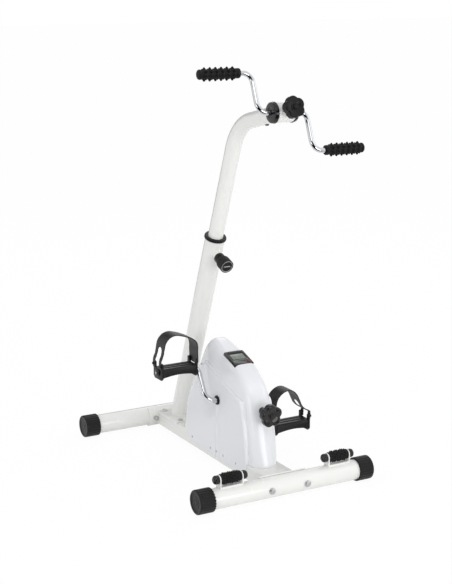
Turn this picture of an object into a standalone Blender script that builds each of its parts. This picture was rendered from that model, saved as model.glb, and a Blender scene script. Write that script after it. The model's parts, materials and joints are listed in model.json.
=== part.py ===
"""A seated pedal exerciser: pedals in a moulded cover, a mast with hand cranks, and two foot rollers.

Metres, +Z up. The user sits at -Y and faces +Y, with +X on the right. The origin is on the floor, in the
middle of the footprint. Lengths along Y are measured from the middle of the base, BASE_Y behind the origin.
"""

import math

import bmesh
import bpy
from mathutils import Matrix, Vector

# Clearances
TOUCH_GAP = 0.0003
RUNNING_GAP = 0.0004
CUT_PAST = 0.004

# Base: two cross tubes and the beam between them
BASE_Y = 0.00357
TUBE_RADIUS = 0.025
TUBE_WALL = 0.002
TUBE_Y = 0.310
CAP_RADIUS = TUBE_RADIUS + 0.0044
TUBE_Z = CAP_RADIUS - 0.0004
FRONT_HALF_LENGTH = 0.240
REAR_HALF_LENGTH = 0.251
BEAM_WIDTH = 0.083
BEAM_BOTTOM = TUBE_Z - 0.0188
BEAM_TOP = BEAM_BOTTOM + 0.037
BEAM_WALL = 0.002
DRAIN_HOLE_RADIUS = 0.007
DRAIN_HOLE_Y = 0.200
SADDLE_WALL = 0.003
SADDLE_HALF_WIDTH = BEAM_WIDTH / 2 + 0.0235
SADDLE_EDGE = 0.010

# End caps
CAP_LENGTH = 0.040
CAP_END = 0.006
CAP_RIBS = 14
CAP_RIB_DEPTH = 0.0012
CAP_EDGE = 0.003

# Bolts
BOLT_X = BEAM_WIDTH / 2 + 0.0075
BOLT_RADIUS = 0.004
BOLT_HOLE_RADIUS = BOLT_RADIUS + 0.0003
BOLT_HEAD_RADIUS = 0.0085
BOLT_HEAD_HEIGHT = 0.005
NUT_RADIUS = 0.0070
NUT_HEIGHT = 0.0065
FOOT_BOLT_LENGTH = 0.020

# Mast
MAST_TILT = math.radians(21.05)
MAST_FLOOR_Y = 0.24827
LOWER_MAST_RADIUS = 0.025
LOWER_MAST_WALL = 0.002
LOWER_MAST_TOP = 0.6075
UPPER_MAST_RADIUS = 0.019
UPPER_MAST_WALL = 0.0018
UPPER_MAST_BOTTOM = 0.400
UPPER_BEND_RADIUS = 0.120
TOP_RUN_RISE = math.radians(12.5)
FOOT_START_Y = 0.165
FOOT_END_Y = 0.275
FOOT_BOLT_X = BEAM_WIDTH / 2 - 0.013
FOOT_BOLT_Y = (FOOT_START_Y + 0.008, FOOT_END_Y - 0.009)
FOOT_LIP_BOTTOM = BEAM_TOP - 0.0067
FOOT_WALL = 0.0025
FOOT_PLATE = 0.003
COLLAR_RADIUS = LOWER_MAST_RADIUS + 0.003
COLLAR_HEIGHT = 0.0065
COLLAR_DEPTH = 0.030
HEIGHT_SCREW_AT = 0.5714
HEIGHT_BOSS_RADIUS = 0.012
HEIGHT_BOSS_END = LOWER_MAST_RADIUS + 0.008
HEIGHT_STEM_RADIUS = 0.014
HEIGHT_STEM_END = HEIGHT_BOSS_END + 0.025
HEIGHT_KNOB_RADIUS = 0.018
HEIGHT_KNOB_END = HEIGHT_STEM_END + 0.022
HEIGHT_KNOB_RIBS = 12
PAD_GAP = 0.00125
HEIGHT_PAD_LENGTH = LOWER_MAST_RADIUS - LOWER_MAST_WALL - UPPER_MAST_RADIUS - 0.001

# Screws of the three knobs
SCREW_RADIUS = 0.005
SCREW_HOLE_RADIUS = 0.0054

# Hand crank and its boss
HAND_AXIS = Vector((0.0, -0.2846, 0.9076))
BOSS_RADIUS = 0.0235
BOSS_HALF_LENGTH = 0.022
BOSS_WALL = 0.0028
DISC_RADIUS = BOSS_RADIUS + 0.0025
DISC_NECK_RADIUS = BOSS_RADIUS - 0.0005
DISC_THICKNESS = 0.0095
DISC_PLUG_LENGTH = 0.009
HAND_ROD_RADIUS = 0.006
HAND_CRANK_RADIUS = 0.0942
HAND_CRANK_ANGLE = math.radians(21.66)
HAND_ARM_X = 0.062
HAND_BEND_RADIUS = 0.024
GRIP_START = 0.090
GRIP_END = 0.200
GRIP_RADIUS = 0.0125
GRIP_COLLAR_RADIUS = GRIP_RADIUS + 0.0015
GRIP_STUD_RADIUS = GRIP_RADIUS + 0.0033
GRIP_RINGS = 6
STUDS_PER_RING = 7
STUD_ROOT = 0.0012
STUD_FOOT_RADIUS = 0.0046
STUD_TIP_RADIUS = 0.0030
HAND_ROD_END = GRIP_END - 0.008
UPPER_KNOB_ANGLE = math.radians(17.2)
UPPER_NUT_RADIUS = 0.0095
UPPER_NUT_END = BOSS_RADIUS + 0.0075
UPPER_KNOB_START = UPPER_NUT_END + 0.0065
KNOB_LOBES = 5
KNOB_HOLLOW = 0.16
UPPER_KNOB_RADIUS = 0.025
UPPER_KNOB_THICKNESS = 0.022
HAND_PAD_LENGTH = BOSS_RADIUS - HAND_ROD_RADIUS - 0.0057

# Width over the cover's side panels and the crank rings, which the pedal cranks clear
COVER_WALL = 0.0025
COVER_HALF_WIDTH = BEAM_WIDTH / 2 + TOUCH_GAP + COVER_WALL
RING_THICKNESS = 0.003

# Pedal crank
PEDAL_AXIS = Vector((0.0, -0.0607, 0.1751))
PEDAL_ROD_RADIUS = 0.007
PEDAL_CRANK_RADIUS = 0.0923
PEDAL_CRANK_ANGLE = math.radians(29.37)
PEDAL_BEND_RADIUS = 0.027
PEDAL_ARM_X = COVER_HALF_WIDTH + RING_THICKNESS + PEDAL_BEND_RADIUS + 0.0027
SPINDLE_BEND_RADIUS = 0.018

# Pedals, from the spindle's axis
PEDAL_START = PEDAL_ARM_X + PEDAL_ROD_RADIUS + 0.004
PEDAL_END = PEDAL_START + 0.0985
SPINDLE_END = PEDAL_END + 0.004
PEDAL_HALF_DEPTH = 0.022
PEDAL_PLATE_TOP = 0.0095
PEDAL_PLATE = 0.003
PEDAL_SKIRT = 0.003
PEDAL_FLANGE = 0.004
PEDAL_FLANGE_HALF_DEPTH = PEDAL_HALF_DEPTH + 0.002
PEDAL_FLANGE_BOTTOM = -0.017
PEDAL_FLANGE_TOP = 0.0115
PEDAL_EAR_TOP = 0.026
PEDAL_EAR_WIDTH = 0.010
PEDAL_BAR_TOP = PEDAL_PLATE_TOP + 0.0018
PEDAL_BAR_WIDTH = 0.0105
PEDAL_BAR_STEP = 0.0145
PEDAL_HUB_RADIUS = PEDAL_ROD_RADIUS + 0.0045
STUD_PIN_RADIUS = 0.0025
STUD_HEAD_RADIUS = 0.004
SPINDLE_CAP_RADIUS = PEDAL_ROD_RADIUS + 0.0025

# Straps, from the spindle's axis: share of the pedal's length, height
STRAP_WIDTH = 2 * PEDAL_HALF_DEPTH
STRAP_THICKNESS = 0.0025
STRAP_INNER_END = 0.0140
STRAP_OUTER_END = 0.0110
STRAP_ROUTES = {
    "left": ((-0.010, 0.044), (-0.012, 0.056), (0.015, 0.068), (0.105, 0.0775), (0.250, 0.0845),
             (0.440, 0.0910), (0.610, 0.0940), (0.765, 0.0895), (0.880, 0.0775), (0.925, 0.0620),
             (0.955, 0.0470), (1.008, 0.0340)),
    "right": ((-0.012, 0.048), (-0.010, 0.064), (0.030, 0.078), (0.115, 0.0885), (0.235, 0.0955),
              (0.360, 0.0975), (0.490, 0.0935), (0.605, 0.0825), (0.690, 0.0660), (0.765, 0.0510),
              (0.880, 0.0400), (1.000, 0.0340)),
}
STRAP_STRAIGHT = 0.030
STRAP_SLOT_WIDTH = 0.022
STRAP_SLOT_TOP = 0.064
STRAP_PIN_HEIGHT = 0.0200

# Cover
COVER_EDGE = 0.003
COVER_BOTTOM = 0.024
COVER_OVER_BEAM = BEAM_TOP + TOUCH_GAP
PANEL_OUTLINE = ((-0.2030, COVER_BOTTOM), (-0.2022, 0.060), (-0.1960, 0.113), (-0.1870, 0.156),
                 (-0.1770, 0.193), (-0.1725, 0.2005), (-0.1600, 0.2045), (-0.1280, 0.2135), (-0.0815, 0.231),
                 (-0.0370, 0.2465), (0.0030, 0.2600), (0.0125, 0.2605), (0.0370, 0.233), (0.0700, 0.179),
                 (0.0960, 0.137), (0.1075, 0.106), (0.1136, 0.077), (0.1203, 0.0535), (0.0870, COVER_BOTTOM))
FOLD_TOP = (0.003, 0.260)
FOLD_FOOT = (-0.030, 0.184)
FOLD_DEPTH = 0.009
HOOD_ROOT = 0.006
HOOD_POINTS = 12
# Foot of each section on the panel outline, crown, set-back from the panels, fullness, lean
HOOD_SECTIONS = (
    ((-0.2030, COVER_OVER_BEAM), (-0.2395, COVER_OVER_BEAM), 0.0083, 2.0, 0.00),
    ((-0.1995, 0.085), (-0.2297, 0.086), 0.0091, 2.05, 0.00),
    ((-0.1945, 0.120), (-0.2218, 0.1215), 0.0100, 2.1, 0.00),
    ((-0.1862, 0.160), (-0.2112, 0.163), 0.0110, 2.2, 0.00),
    ((-0.1783, 0.188), (-0.2022, 0.192), 0.0118, 2.3, 0.00),
    ((-0.1745, 0.197), (-0.1950, 0.2125), 0.0118, 2.5, 0.02),
    ((-0.1700, 0.202), (-0.1850, 0.2320), 0.0108, 2.8, 0.06),
    ((-0.1600, 0.2045), (-0.1700, 0.2492), 0.0093, 3.4, 0.12),
    ((-0.1440, 0.2090), (-0.1495, 0.2640), 0.0073, 4.2, 0.18),
    ((-0.1180, 0.2170), (-0.1215, 0.2775), 0.0058, 5.2, 0.22),
    ((-0.0815, 0.2310), (-0.0860, 0.2890), 0.0048, 6.0, 0.25),
    ((-0.0370, 0.2465), (-0.0420, 0.3020), 0.0043, 6.0, 0.26),
    ((-0.0100, 0.2555), (-0.0110, 0.3115), 0.0058, 6.0, 0.25),
    ((0.0030, 0.2600), (0.0105, 0.3145), 0.0073, 5.5, 0.22),
    ((0.0110, 0.2605), (0.0290, 0.3045), 0.0098, 4.6, 0.18),
    ((0.0210, 0.2520), (0.0465, 0.2870), 0.0118, 3.8, 0.14),
    ((0.0370, 0.2330), (0.0665, 0.2515), 0.0118, 3.2, 0.10),
    ((0.0530, 0.2070), (0.0830, 0.2230), 0.0108, 2.9, 0.07),
    ((0.0700, 0.1790), (0.0995, 0.1950), 0.0093, 2.7, 0.04),
    ((0.0960, 0.1370), (0.1250, 0.1490), 0.0073, 2.5, 0.02),
    ((0.1075, 0.1060), (0.1370, 0.1150), 0.0065, 2.3, 0.00),
    ((0.1140, 0.0750), (0.1445, 0.0790), 0.0061, 2.2, 0.00),
    ((0.1160, COVER_OVER_BEAM), (0.1480, COVER_OVER_BEAM), 0.0058, 2.2, 0.00),
)
SLOT_WIDTH = 2 * PEDAL_ROD_RADIUS + 0.008
SLOT_FLANGE = 0.005
SLOT_FLANGE_THICKNESS = 0.002
RING_SLEEVE_RADIUS = PEDAL_ROD_RADIUS + 0.0026
RING_RADIUS = SLOT_WIDTH / 2 + 0.0008

# Counter, on a slope over the cover's top
COUNTER_CENTRE = Vector((0.0, -0.0895, 0.2833))
COUNTER_SLOPE = math.radians(17.9)
COUNTER_WIDTH = 0.054
COUNTER_LENGTH = 0.062
COUNTER_FLANGE = 0.003
COUNTER_BODY_INSET = 0.003
COUNTER_BODY_DEPTH = 0.010
SCREEN_WIDTH = 0.038
SCREEN_LENGTH = 0.024
SCREEN_Y = 0.006
SCREEN_THICKNESS = 0.0015
BUTTON_X = 0.017
BUTTON_Y = -0.020
BUTTON_RADIUS = 0.0045
BUTTON_PROUD = 0.0022
BUTTON_DEPTH = 0.0045

# Lower knob and brake
LOWER_KNOB_Z = 0.1805
LOWER_KNOB_CENTRE_Y = -0.244
LOWER_KNOB_RADIUS = 0.0265
LOWER_KNOB_THICKNESS = 0.020
LOWER_KNOB_STEM_RADIUS = 0.009
WHEEL_RADIUS = 0.095
SHOE_BACK_Y = PEDAL_AXIS.y - WHEEL_RADIUS - 0.0173
BRAKE_PLATE_Y = SHOE_BACK_Y - 0.013
BRAKE_PLATE = 0.003
BRAKE_PLATE_HALF_WIDTH = 0.018
BRAKE_PLATE_TOP = LOWER_KNOB_Z + 0.0215
BRAKE_FOOT_END_Y = BRAKE_PLATE_Y + 0.026
BRAKE_COLLAR_RADIUS = 0.009
BRAKE_COLLAR_THICKNESS = 0.003
SHOE_HALF_WIDTH = 0.012
SHOE_HALF_HEIGHT = 0.014
SHOE_SCREW_DEPTH = 0.0045
SHOE_RELEASE = 0.0025
BRAKE_PAD_GAP = 0.001
BRAKE_PAD_THICKNESS = 0.004
BRAKE_PAD_HALF_WIDTH = 0.009
BRAKE_PAD_HALF_HEIGHT = 0.0125
CHEEK_WALL = 0.002
CHEEK_END_Y = SHOE_BACK_Y + 0.010

# Wheel and bearing bracket
RIM_HALF_WIDTH = 0.010
RIM_DEPTH = 0.016
WEB_HALF_WIDTH = 0.003
HUB_RADIUS = PEDAL_ROD_RADIUS + 0.011
BRACKET_X = BEAM_WIDTH / 2 - 0.0075
HUB_HALF_LENGTH = BRACKET_X - 0.0055
BRACKET_WALL = 0.004
BRACKET_HALF_FOOT = 0.045
BRACKET_HEAD_RADIUS = 0.018
BRACKET_BASE = 0.004
BUSH_RADIUS = PEDAL_ROD_RADIUS + 0.0035
BUSH_FLANGE_RADIUS = BUSH_RADIUS + 0.003
BUSH_FLANGE = 0.0022

# Rollers on the front tube
ROLLER_X = 0.149
ROLLER_Z = TUBE_Z + 0.045
ROLLER_HALF_LENGTH = 0.027
ROLLER_RADIUS = 0.011
ROLLER_COLLAR_RADIUS = 0.0122
ROLLER_STUD_RADIUS = 0.0150
ROLLER_RINGS = 3
AXLE_RADIUS = 0.004
ROLLER_ARM_INSIDE = ROLLER_HALF_LENGTH + 0.001
ROLLER_ARM_WALL = 0.0028
ROLLER_ARM_HALF_DEPTH = 0.011
ROLLER_BASE_TOP = TUBE_Z + 0.0283
AXLE_KNOB_RADIUS = 0.0105
AXLE_KNOB_LENGTH = 0.014

# Looks: colour, roughness, metallic
WHITE_PAINT = ((0.80, 0.80, 0.76), 0.30, 0.0)
WHITE_SHELL = ((0.82, 0.83, 0.84), 0.22, 0.0)
BLACK_PLASTIC = ((0.020, 0.020, 0.021), 0.38, 0.0)
BLACK_RUBBER = ((0.022, 0.022, 0.022), 0.62, 0.0)
CHROME = ((0.75, 0.76, 0.78), 0.10, 1.0)
BLACK_STEEL = ((0.030, 0.030, 0.030), 0.35, 0.6)
STEEL = ((0.35, 0.35, 0.36), 0.45, 1.0)
CAST_IRON = ((0.10, 0.10, 0.11), 0.55, 1.0)
NYLON = ((0.70, 0.69, 0.64), 0.45, 0.0)
FELT = ((0.30, 0.28, 0.25), 0.95, 0.0)
SCREEN = ((0.30, 0.34, 0.30), 0.12, 0.0)
RED_PLASTIC = ((0.35, 0.02, 0.02), 0.35, 0.0)

for old in list(bpy.data.objects):
    bpy.data.objects.remove(old, do_unlink=True)

PARTS = bpy.data.collections.new("seated_pedal_exerciser")
CUTTERS = bpy.data.collections.new("cutters")
bpy.context.scene.collection.children.link(PARTS)
bpy.context.scene.collection.children.link(CUTTERS)


# Frames: an outline drawn in (x, y) stands in the named plane, and its depth runs along the third axis
IN_YZ = Matrix(((0, 0, 1, 0), (1, 0, 0, 0), (0, 1, 0, 0), (0, 0, 0, 1)))
IN_XZ = Matrix(((1, 0, 0, 0), (0, 0, -1, 0), (0, 1, 0, 0), (0, 0, 0, 1)))
MAST = Matrix.Translation((0, MAST_FLOOR_Y, 0)) @ Matrix.Rotation(MAST_TILT, 4, "X")


def facing(direction, at):
    """A frame at a point with its Z axis along a direction."""
    turn = Vector((0, 0, 1)).rotation_difference(Vector(direction))
    return Matrix.Translation(Vector(at)) @ turn.to_matrix().to_4x4()


# Meshes
def mesh_from(bm, name):
    bmesh.ops.recalc_face_normals(bm, faces=bm.faces[:])
    mesh = bpy.data.meshes.new(name)
    bm.to_mesh(mesh)
    bm.free()
    return mesh


def box(name, corner, opposite, bevel=0.0):
    low = Vector(map(min, corner, opposite))
    high = Vector(map(max, corner, opposite))
    bm = bmesh.new()
    bmesh.ops.create_cube(bm, size=1.0)
    bmesh.ops.scale(bm, vec=high - low, verts=bm.verts)
    bmesh.ops.translate(bm, vec=(low + high) / 2, verts=bm.verts)
    if bevel:
        bmesh.ops.bevel(bm, geom=bm.edges[:], offset=bevel, segments=2, affect="EDGES", profile=0.5)
    return mesh_from(bm, name)


def facets(radius):
    """How many flat faces stand for a round surface."""
    return max(12, min(32, 4 * round(1.2 * math.sqrt(radius * 1000))))


def rod(name, radius, start, end, end_radius=None):
    """A straight round bar, or a cone where the end radius differs."""
    start = Vector(start)
    end = Vector(end)
    bm = bmesh.new()
    bmesh.ops.create_cone(bm, cap_ends=True, segments=facets(radius), radius1=radius,
                          radius2=radius if end_radius is None else end_radius, depth=(end - start).length)
    bmesh.ops.transform(bm, matrix=facing(end - start, (start + end) / 2), verts=bm.verts)
    return mesh_from(bm, name)


def curve_mesh(name, curve):
    """The welded mesh of a filled or bevelled curve."""
    guide = bpy.data.objects.new(name, curve)
    CUTTERS.objects.link(guide)
    graph = bpy.context.evaluated_depsgraph_get()
    mesh = bpy.data.meshes.new_from_object(guide.evaluated_get(graph))
    bpy.data.objects.remove(guide)
    bpy.data.curves.remove(curve)
    bm = bmesh.new()
    bm.from_mesh(mesh)
    bpy.data.meshes.remove(mesh)
    bmesh.ops.remove_doubles(bm, verts=bm.verts, dist=0.000002)
    return mesh_from(bm, name)


def add_spline(curve, points, cyclic):
    spline = curve.splines.new("POLY")
    spline.points.add(len(points) - 1)
    for point, place in zip(spline.points, points):
        point.co = (*place, *([0.0] * (3 - len(place))), 1.0)
    spline.use_cyclic_u = cyclic


def plate(name, outline, depth, edge=0.0, rounding=0):
    """A flat outline with a thickness, centred on its own plane, with rounded edges if they are asked for."""
    curve = bpy.data.curves.new(name, "CURVE")
    curve.dimensions = "2D"
    curve.fill_mode = "BOTH"
    curve.extrude = depth / 2 - edge
    curve.bevel_depth = edge
    curve.offset = -edge
    curve.bevel_resolution = rounding
    add_spline(curve, outline, True)
    return curve_mesh(name, curve)


def tube(name, path, radius, sides=16):
    """A round bar along a path, with filled ends."""
    curve = bpy.data.curves.new(name, "CURVE")
    curve.dimensions = "3D"
    curve.bevel_depth = radius
    curve.bevel_resolution = sides // 2 - 2
    curve.use_fill_caps = True
    add_spline(curve, path, False)
    return curve_mesh(name, curve)


def loft(name, sections):
    """Skins a row of closed sections with equal counts of points, and caps the two ends."""
    bm = bmesh.new()
    loops = [[bm.verts.new(point) for point in section] for section in sections]
    for first, second in zip(loops, loops[1:]):
        for index in range(len(first)):
            after = (index + 1) % len(first)
            bm.faces.new((first[index], first[after], second[after], second[index]))
    bm.faces.new(loops[0])
    bm.faces.new(loops[-1])
    return mesh_from(bm, name)


# Paths and outlines
def arc(centre, radius, start, end, steps):
    """Points of an arc in a plane, angles in degrees."""
    points = []
    for step in range(steps + 1):
        angle = math.radians(start + (end - start) * step / steps)
        points.append((centre[0] + radius * math.cos(angle), centre[1] + radius * math.sin(angle)))
    return points


def rounded_path(corners, radii, steps=8):
    """The corners joined by straight runs, with an arc in each bend."""
    corners = [Vector(corner) for corner in corners]
    path = [corners[0]]
    for before, corner, after, radius in zip(corners, corners[1:], corners[2:], radii):
        into = (corner - before).normalized()
        out = (after - corner).normalized()
        half_turn = into.angle(out) / 2
        centre = corner + (out - into).normalized() * (radius / math.cos(half_turn))
        arm = corner - into * (radius * math.tan(half_turn)) - centre
        for step in range(steps + 1):
            turn = Matrix.Rotation(2 * half_turn * step / steps, 3, into.cross(out))
            path.append(centre + turn @ arm)
    return path + [corners[-1]]


def smooth_path(points, steps=3):
    """A smooth curve through the points, which are tuples of equal length."""
    padded = [points[0], *points, points[-1]]
    path = []
    for before, start, end, after in zip(padded, padded[1:], padded[2:], padded[3:]):
        for step in range(steps):
            t = step / steps
            path.append(tuple(
                0.5 * (2 * b + (c - a) * t + (2 * a - 5 * b + 4 * c - d) * t ** 2
                       + (3 * b - a - 3 * c + d) * t ** 3)
                for a, b, c, d in zip(before, start, end, after)))
    return path + [tuple(points[-1])]


def ribbed_outline(radius, depth, ribs):
    """A circle with flat-topped ribs along its depth."""
    points = []
    for rib in range(ribs):
        for share, height in ((0.0, radius), (0.52, radius), (0.76, radius - depth)):
            angle = 2 * math.pi * (rib + share - 0.26) / ribs - math.pi / 2
            points.append((height * math.cos(angle), height * math.sin(angle)))
    return points


def star_outline(radius, lobes, depth, steps=8):
    """A star grip's outline: broad round lobes with narrow hollows between them."""
    points = []
    for step in range(lobes * steps):
        turn = 2 * math.pi * step / (lobes * steps)
        swing = 0.5 + 0.5 * math.cos(lobes * turn)
        height = radius - depth * (1 - swing ** 0.42)
        points.append((height * math.cos(turn), height * math.sin(turn)))
    return points


def inset(outline, distance):
    """The outline moved inwards; its points run clockwise seen with the first axis to the right."""
    moved = []
    count = len(outline)
    for index in range(count):
        before = Vector(outline[index - 1])
        corner = Vector(outline[index])
        after = Vector(outline[(index + 1) % count])
        into = (corner - before).normalized()
        out = (after - corner).normalized()
        side = Vector((into.y + out.y, -into.x - out.x))
        moved.append(tuple(corner + side * (distance / (1 + into.dot(out)))))
    return moved


# Objects
def piece(name, mesh, look, frame=Matrix(), owner=None):
    """A named object of the product, with its own material."""
    obj = bpy.data.objects.new(name, mesh)
    PARTS.objects.link(obj)
    obj.matrix_world = frame
    colour, roughness, metallic = look
    made = bpy.data.materials.new(name)
    made.use_nodes = True
    shader = made.node_tree.nodes["Principled BSDF"]
    shader.inputs["Base Color"].default_value = (*colour, 1.0)
    shader.inputs["Roughness"].default_value = roughness
    shader.inputs["Metallic"].default_value = metallic
    mesh.materials.append(made)
    if mesh.polygons:
        mesh.shade_smooth()
        mesh.set_sharp_from_angle(angle=math.radians(35))
    if owner:
        obj.parent = owner
        obj.matrix_parent_inverse = Matrix.Translation(-owner.location)
    return obj


def axis_empty(name, at):
    """The empty on a joint's axis that carries a moving body's pieces."""
    empty = bpy.data.objects.new(name, None)
    empty.location = at
    PARTS.objects.link(empty)
    return empty


def combine(target, operation, mesh, frame=Matrix()):
    helper = bpy.data.objects.new(f"{target.name}_{operation.lower()}_{len(target.modifiers)}", mesh)
    CUTTERS.objects.link(helper)
    helper.matrix_world = frame
    helper.hide_render = True
    helper.display_type = "WIRE"
    modifier = target.modifiers.new(helper.name, "BOOLEAN")
    modifier.operation = operation
    modifier.object = helper
    return helper


def cut(target, mesh, frame=Matrix()):
    return combine(target, "DIFFERENCE", mesh, frame)


def fuse(target, mesh, frame=Matrix()):
    return combine(target, "UNION", mesh, frame)


def screw_on(obj, steps):
    modifier = obj.modifiers.new("Turn", "SCREW")
    modifier.steps = steps
    modifier.render_steps = steps
    modifier.use_merge_vertices = True
    modifier.merge_threshold = 0.00001
    modifier.use_smooth_shade = True


def profile_mesh(name, profile):
    """Points are (radius, height), down the outer side; off the axis the profile closes on itself."""
    points = [(radius, 0.0, height) for radius, height in profile]
    edges = [(index, index + 1) for index in range(len(points) - 1)]
    if profile[0][0] > 0:
        edges.append((len(points) - 1, 0))
    mesh = bpy.data.meshes.new(name)
    mesh.from_pydata(points, edges, [])
    return mesh


def turned(name, profile, look, frame=Matrix(), owner=None):
    obj = piece(name, profile_mesh(name, profile), look, frame, owner)
    screw_on(obj, facets(max(radius for radius, height in profile)))
    return obj


def ring_profile(outer, inner, top, bottom):
    return ((outer, top), (outer, bottom), (inner, bottom), (inner, top))


def side_name(side):
    return "left" if side < 0 else "right"


# Base
def stabilizer(name, y, half_length):
    """A cross tube, open at both ends, with cross holes for its two bolts."""
    reach = half_length - CAP_END - TOUCH_GAP
    profile = ring_profile(TUBE_RADIUS, TUBE_RADIUS - TUBE_WALL, reach, -reach)
    obj = turned(name, profile, WHITE_PAINT, facing((1, 0, 0), (0, y, TUBE_Z)))
    depth = TUBE_RADIUS + CUT_PAST
    for x in (-BOLT_X, BOLT_X):
        cut(obj, rod("hole", BOLT_HOLE_RADIUS, (x, y - depth, TUBE_Z), (x, y + depth, TUBE_Z)))


def end_cap(name, y, side, half_length):
    """A ribbed cup over the tube's end, with a flat foot on the floor."""
    bore = TUBE_RADIUS + TOUCH_GAP
    outline = ribbed_outline(CAP_RADIUS, CAP_RIB_DEPTH, CAP_RIBS)
    middle = side * (half_length - CAP_LENGTH / 2)
    mesh = plate(name, outline, CAP_LENGTH, CAP_EDGE)
    obj = piece(name, mesh, BLACK_PLASTIC, Matrix.Translation((middle, y, TUBE_Z)) @ IN_YZ)
    tube_end = half_length - CAP_END
    inner = half_length - CAP_LENGTH - CUT_PAST
    cut(obj, rod("bore", bore, (side * inner, y, TUBE_Z), (side * tube_end, y, TUBE_Z)))
    outside = half_length + CUT_PAST
    cut(obj, box("floor", (side * inner, y - TUBE_RADIUS, -CUT_PAST), (side * outside, y + TUBE_RADIUS, 0)))


def tube_bolt(name, x, y, side):
    """A domed carriage bolt through the tube and the saddle, head at -Y * side, with its nut."""
    head = BOLT_HEAD_RADIUS
    seat = TUBE_RADIUS + TOUCH_GAP
    nut_seat = TUBE_RADIUS + 2 * TOUCH_GAP + SADDLE_WALL
    nut_end = nut_seat + NUT_HEIGHT
    dome = [(head * math.sin(a), seat + BOLT_HEAD_HEIGHT * (0.25 + 0.75 * math.cos(a)))
            for a in (0.0, 0.6, 1.1, 1.5)]
    profile = [*dome, (head, seat), (BOLT_RADIUS, seat), (BOLT_RADIUS, -nut_seat), (NUT_RADIUS, -nut_seat),
               (NUT_RADIUS, -nut_end), (0, -nut_end)]
    turned(name, profile, BLACK_STEEL, facing((0, side, 0), (x, y, TUBE_Z)))


def main_beam():
    """The rectangular beam, its coped ends and the curved saddle plates welded on them."""
    half = BEAM_WIDTH / 2
    reach = TUBE_Y - TUBE_RADIUS / 2
    block = box("main_beam", (-half, -reach, BEAM_BOTTOM), (half, reach, BEAM_TOP))
    obj = piece("main_beam", block, WHITE_PAINT)
    seat = TUBE_RADIUS + TOUCH_GAP
    saddle = seat + SADDLE_WALL
    for side in (-1, 1):
        y = side * TUBE_Y
        fuse(obj, rod("saddle", saddle, (-SADDLE_HALF_WIDTH, y, TUBE_Z), (SADDLE_HALF_WIDTH, y, TUBE_Z)))
        past = SADDLE_HALF_WIDTH + CUT_PAST
        cut(obj, rod("seat", seat, (-past, y, TUBE_Z), (past, y, TUBE_Z)))
        edge = y - side * SADDLE_EDGE
        cut(obj, box("side", (-past, edge, -CUT_PAST), (past, y + side * saddle, TUBE_Z * 3)))
    inner = half - BEAM_WALL
    end = TUBE_Y - saddle - BEAM_WALL
    cut(obj, box("hollow", (-inner, -end, BEAM_BOTTOM + BEAM_WALL), (inner, end, BEAM_TOP - BEAM_WALL)))
    for y in (-DRAIN_HOLE_Y, DRAIN_HOLE_Y):
        low = (0, y, BEAM_BOTTOM - CUT_PAST)
        cut(obj, rod("drain", DRAIN_HOLE_RADIUS, low, (0, y, BEAM_BOTTOM + CUT_PAST)))
    for x in (-FOOT_BOLT_X, FOOT_BOLT_X):
        for y in FOOT_BOLT_Y:
            cut(obj, rod("hole", BOLT_HOLE_RADIUS, (x, y, BEAM_TOP - CUT_PAST), (x, y, BEAM_TOP + CUT_PAST)))
    for x in (-BOLT_X, BOLT_X):
        for side in (-1, 1):
            inside = side * (TUBE_Y - TUBE_RADIUS - 0.015)
            cut(obj, rod("hole", BOLT_HOLE_RADIUS, (x, inside, TUBE_Z), (x, side * TUBE_Y, TUBE_Z)))


def base():
    for name, y, half_length, bolt_side in (("front", -TUBE_Y, FRONT_HALF_LENGTH, -1),
                                            ("rear", TUBE_Y, REAR_HALF_LENGTH, 1)):
        stabilizer(f"{name}_stabilizer", y, half_length)
        for side in (-1, 1):
            end_cap(f"{name}_end_cap_{side_name(side)}", y, side, half_length)
            tube_bolt(f"{name}_tube_bolt_{side_name(side)}", side * BOLT_X, y, bolt_side)
    main_beam()


# Mast
def mast_foot_bolts():
    seat = BEAM_TOP + 2 * TOUCH_GAP + FOOT_PLATE
    for end, y in zip(("front", "rear"), FOOT_BOLT_Y):
        for side in (-1, 1):
            profile = ((0, BOLT_HEAD_HEIGHT), (NUT_RADIUS * 0.6, BOLT_HEAD_HEIGHT * 0.93),
                       (NUT_RADIUS, BOLT_HEAD_HEIGHT * 0.5), (NUT_RADIUS, 0), (BOLT_RADIUS, 0),
                       (BOLT_RADIUS, -FOOT_BOLT_LENGTH), (0, -FOOT_BOLT_LENGTH))
            turned(f"mast_foot_bolt_{end}_{side_name(side)}", profile, STEEL,
                   Matrix.Translation((side * FOOT_BOLT_X, y, seat)))


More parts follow.
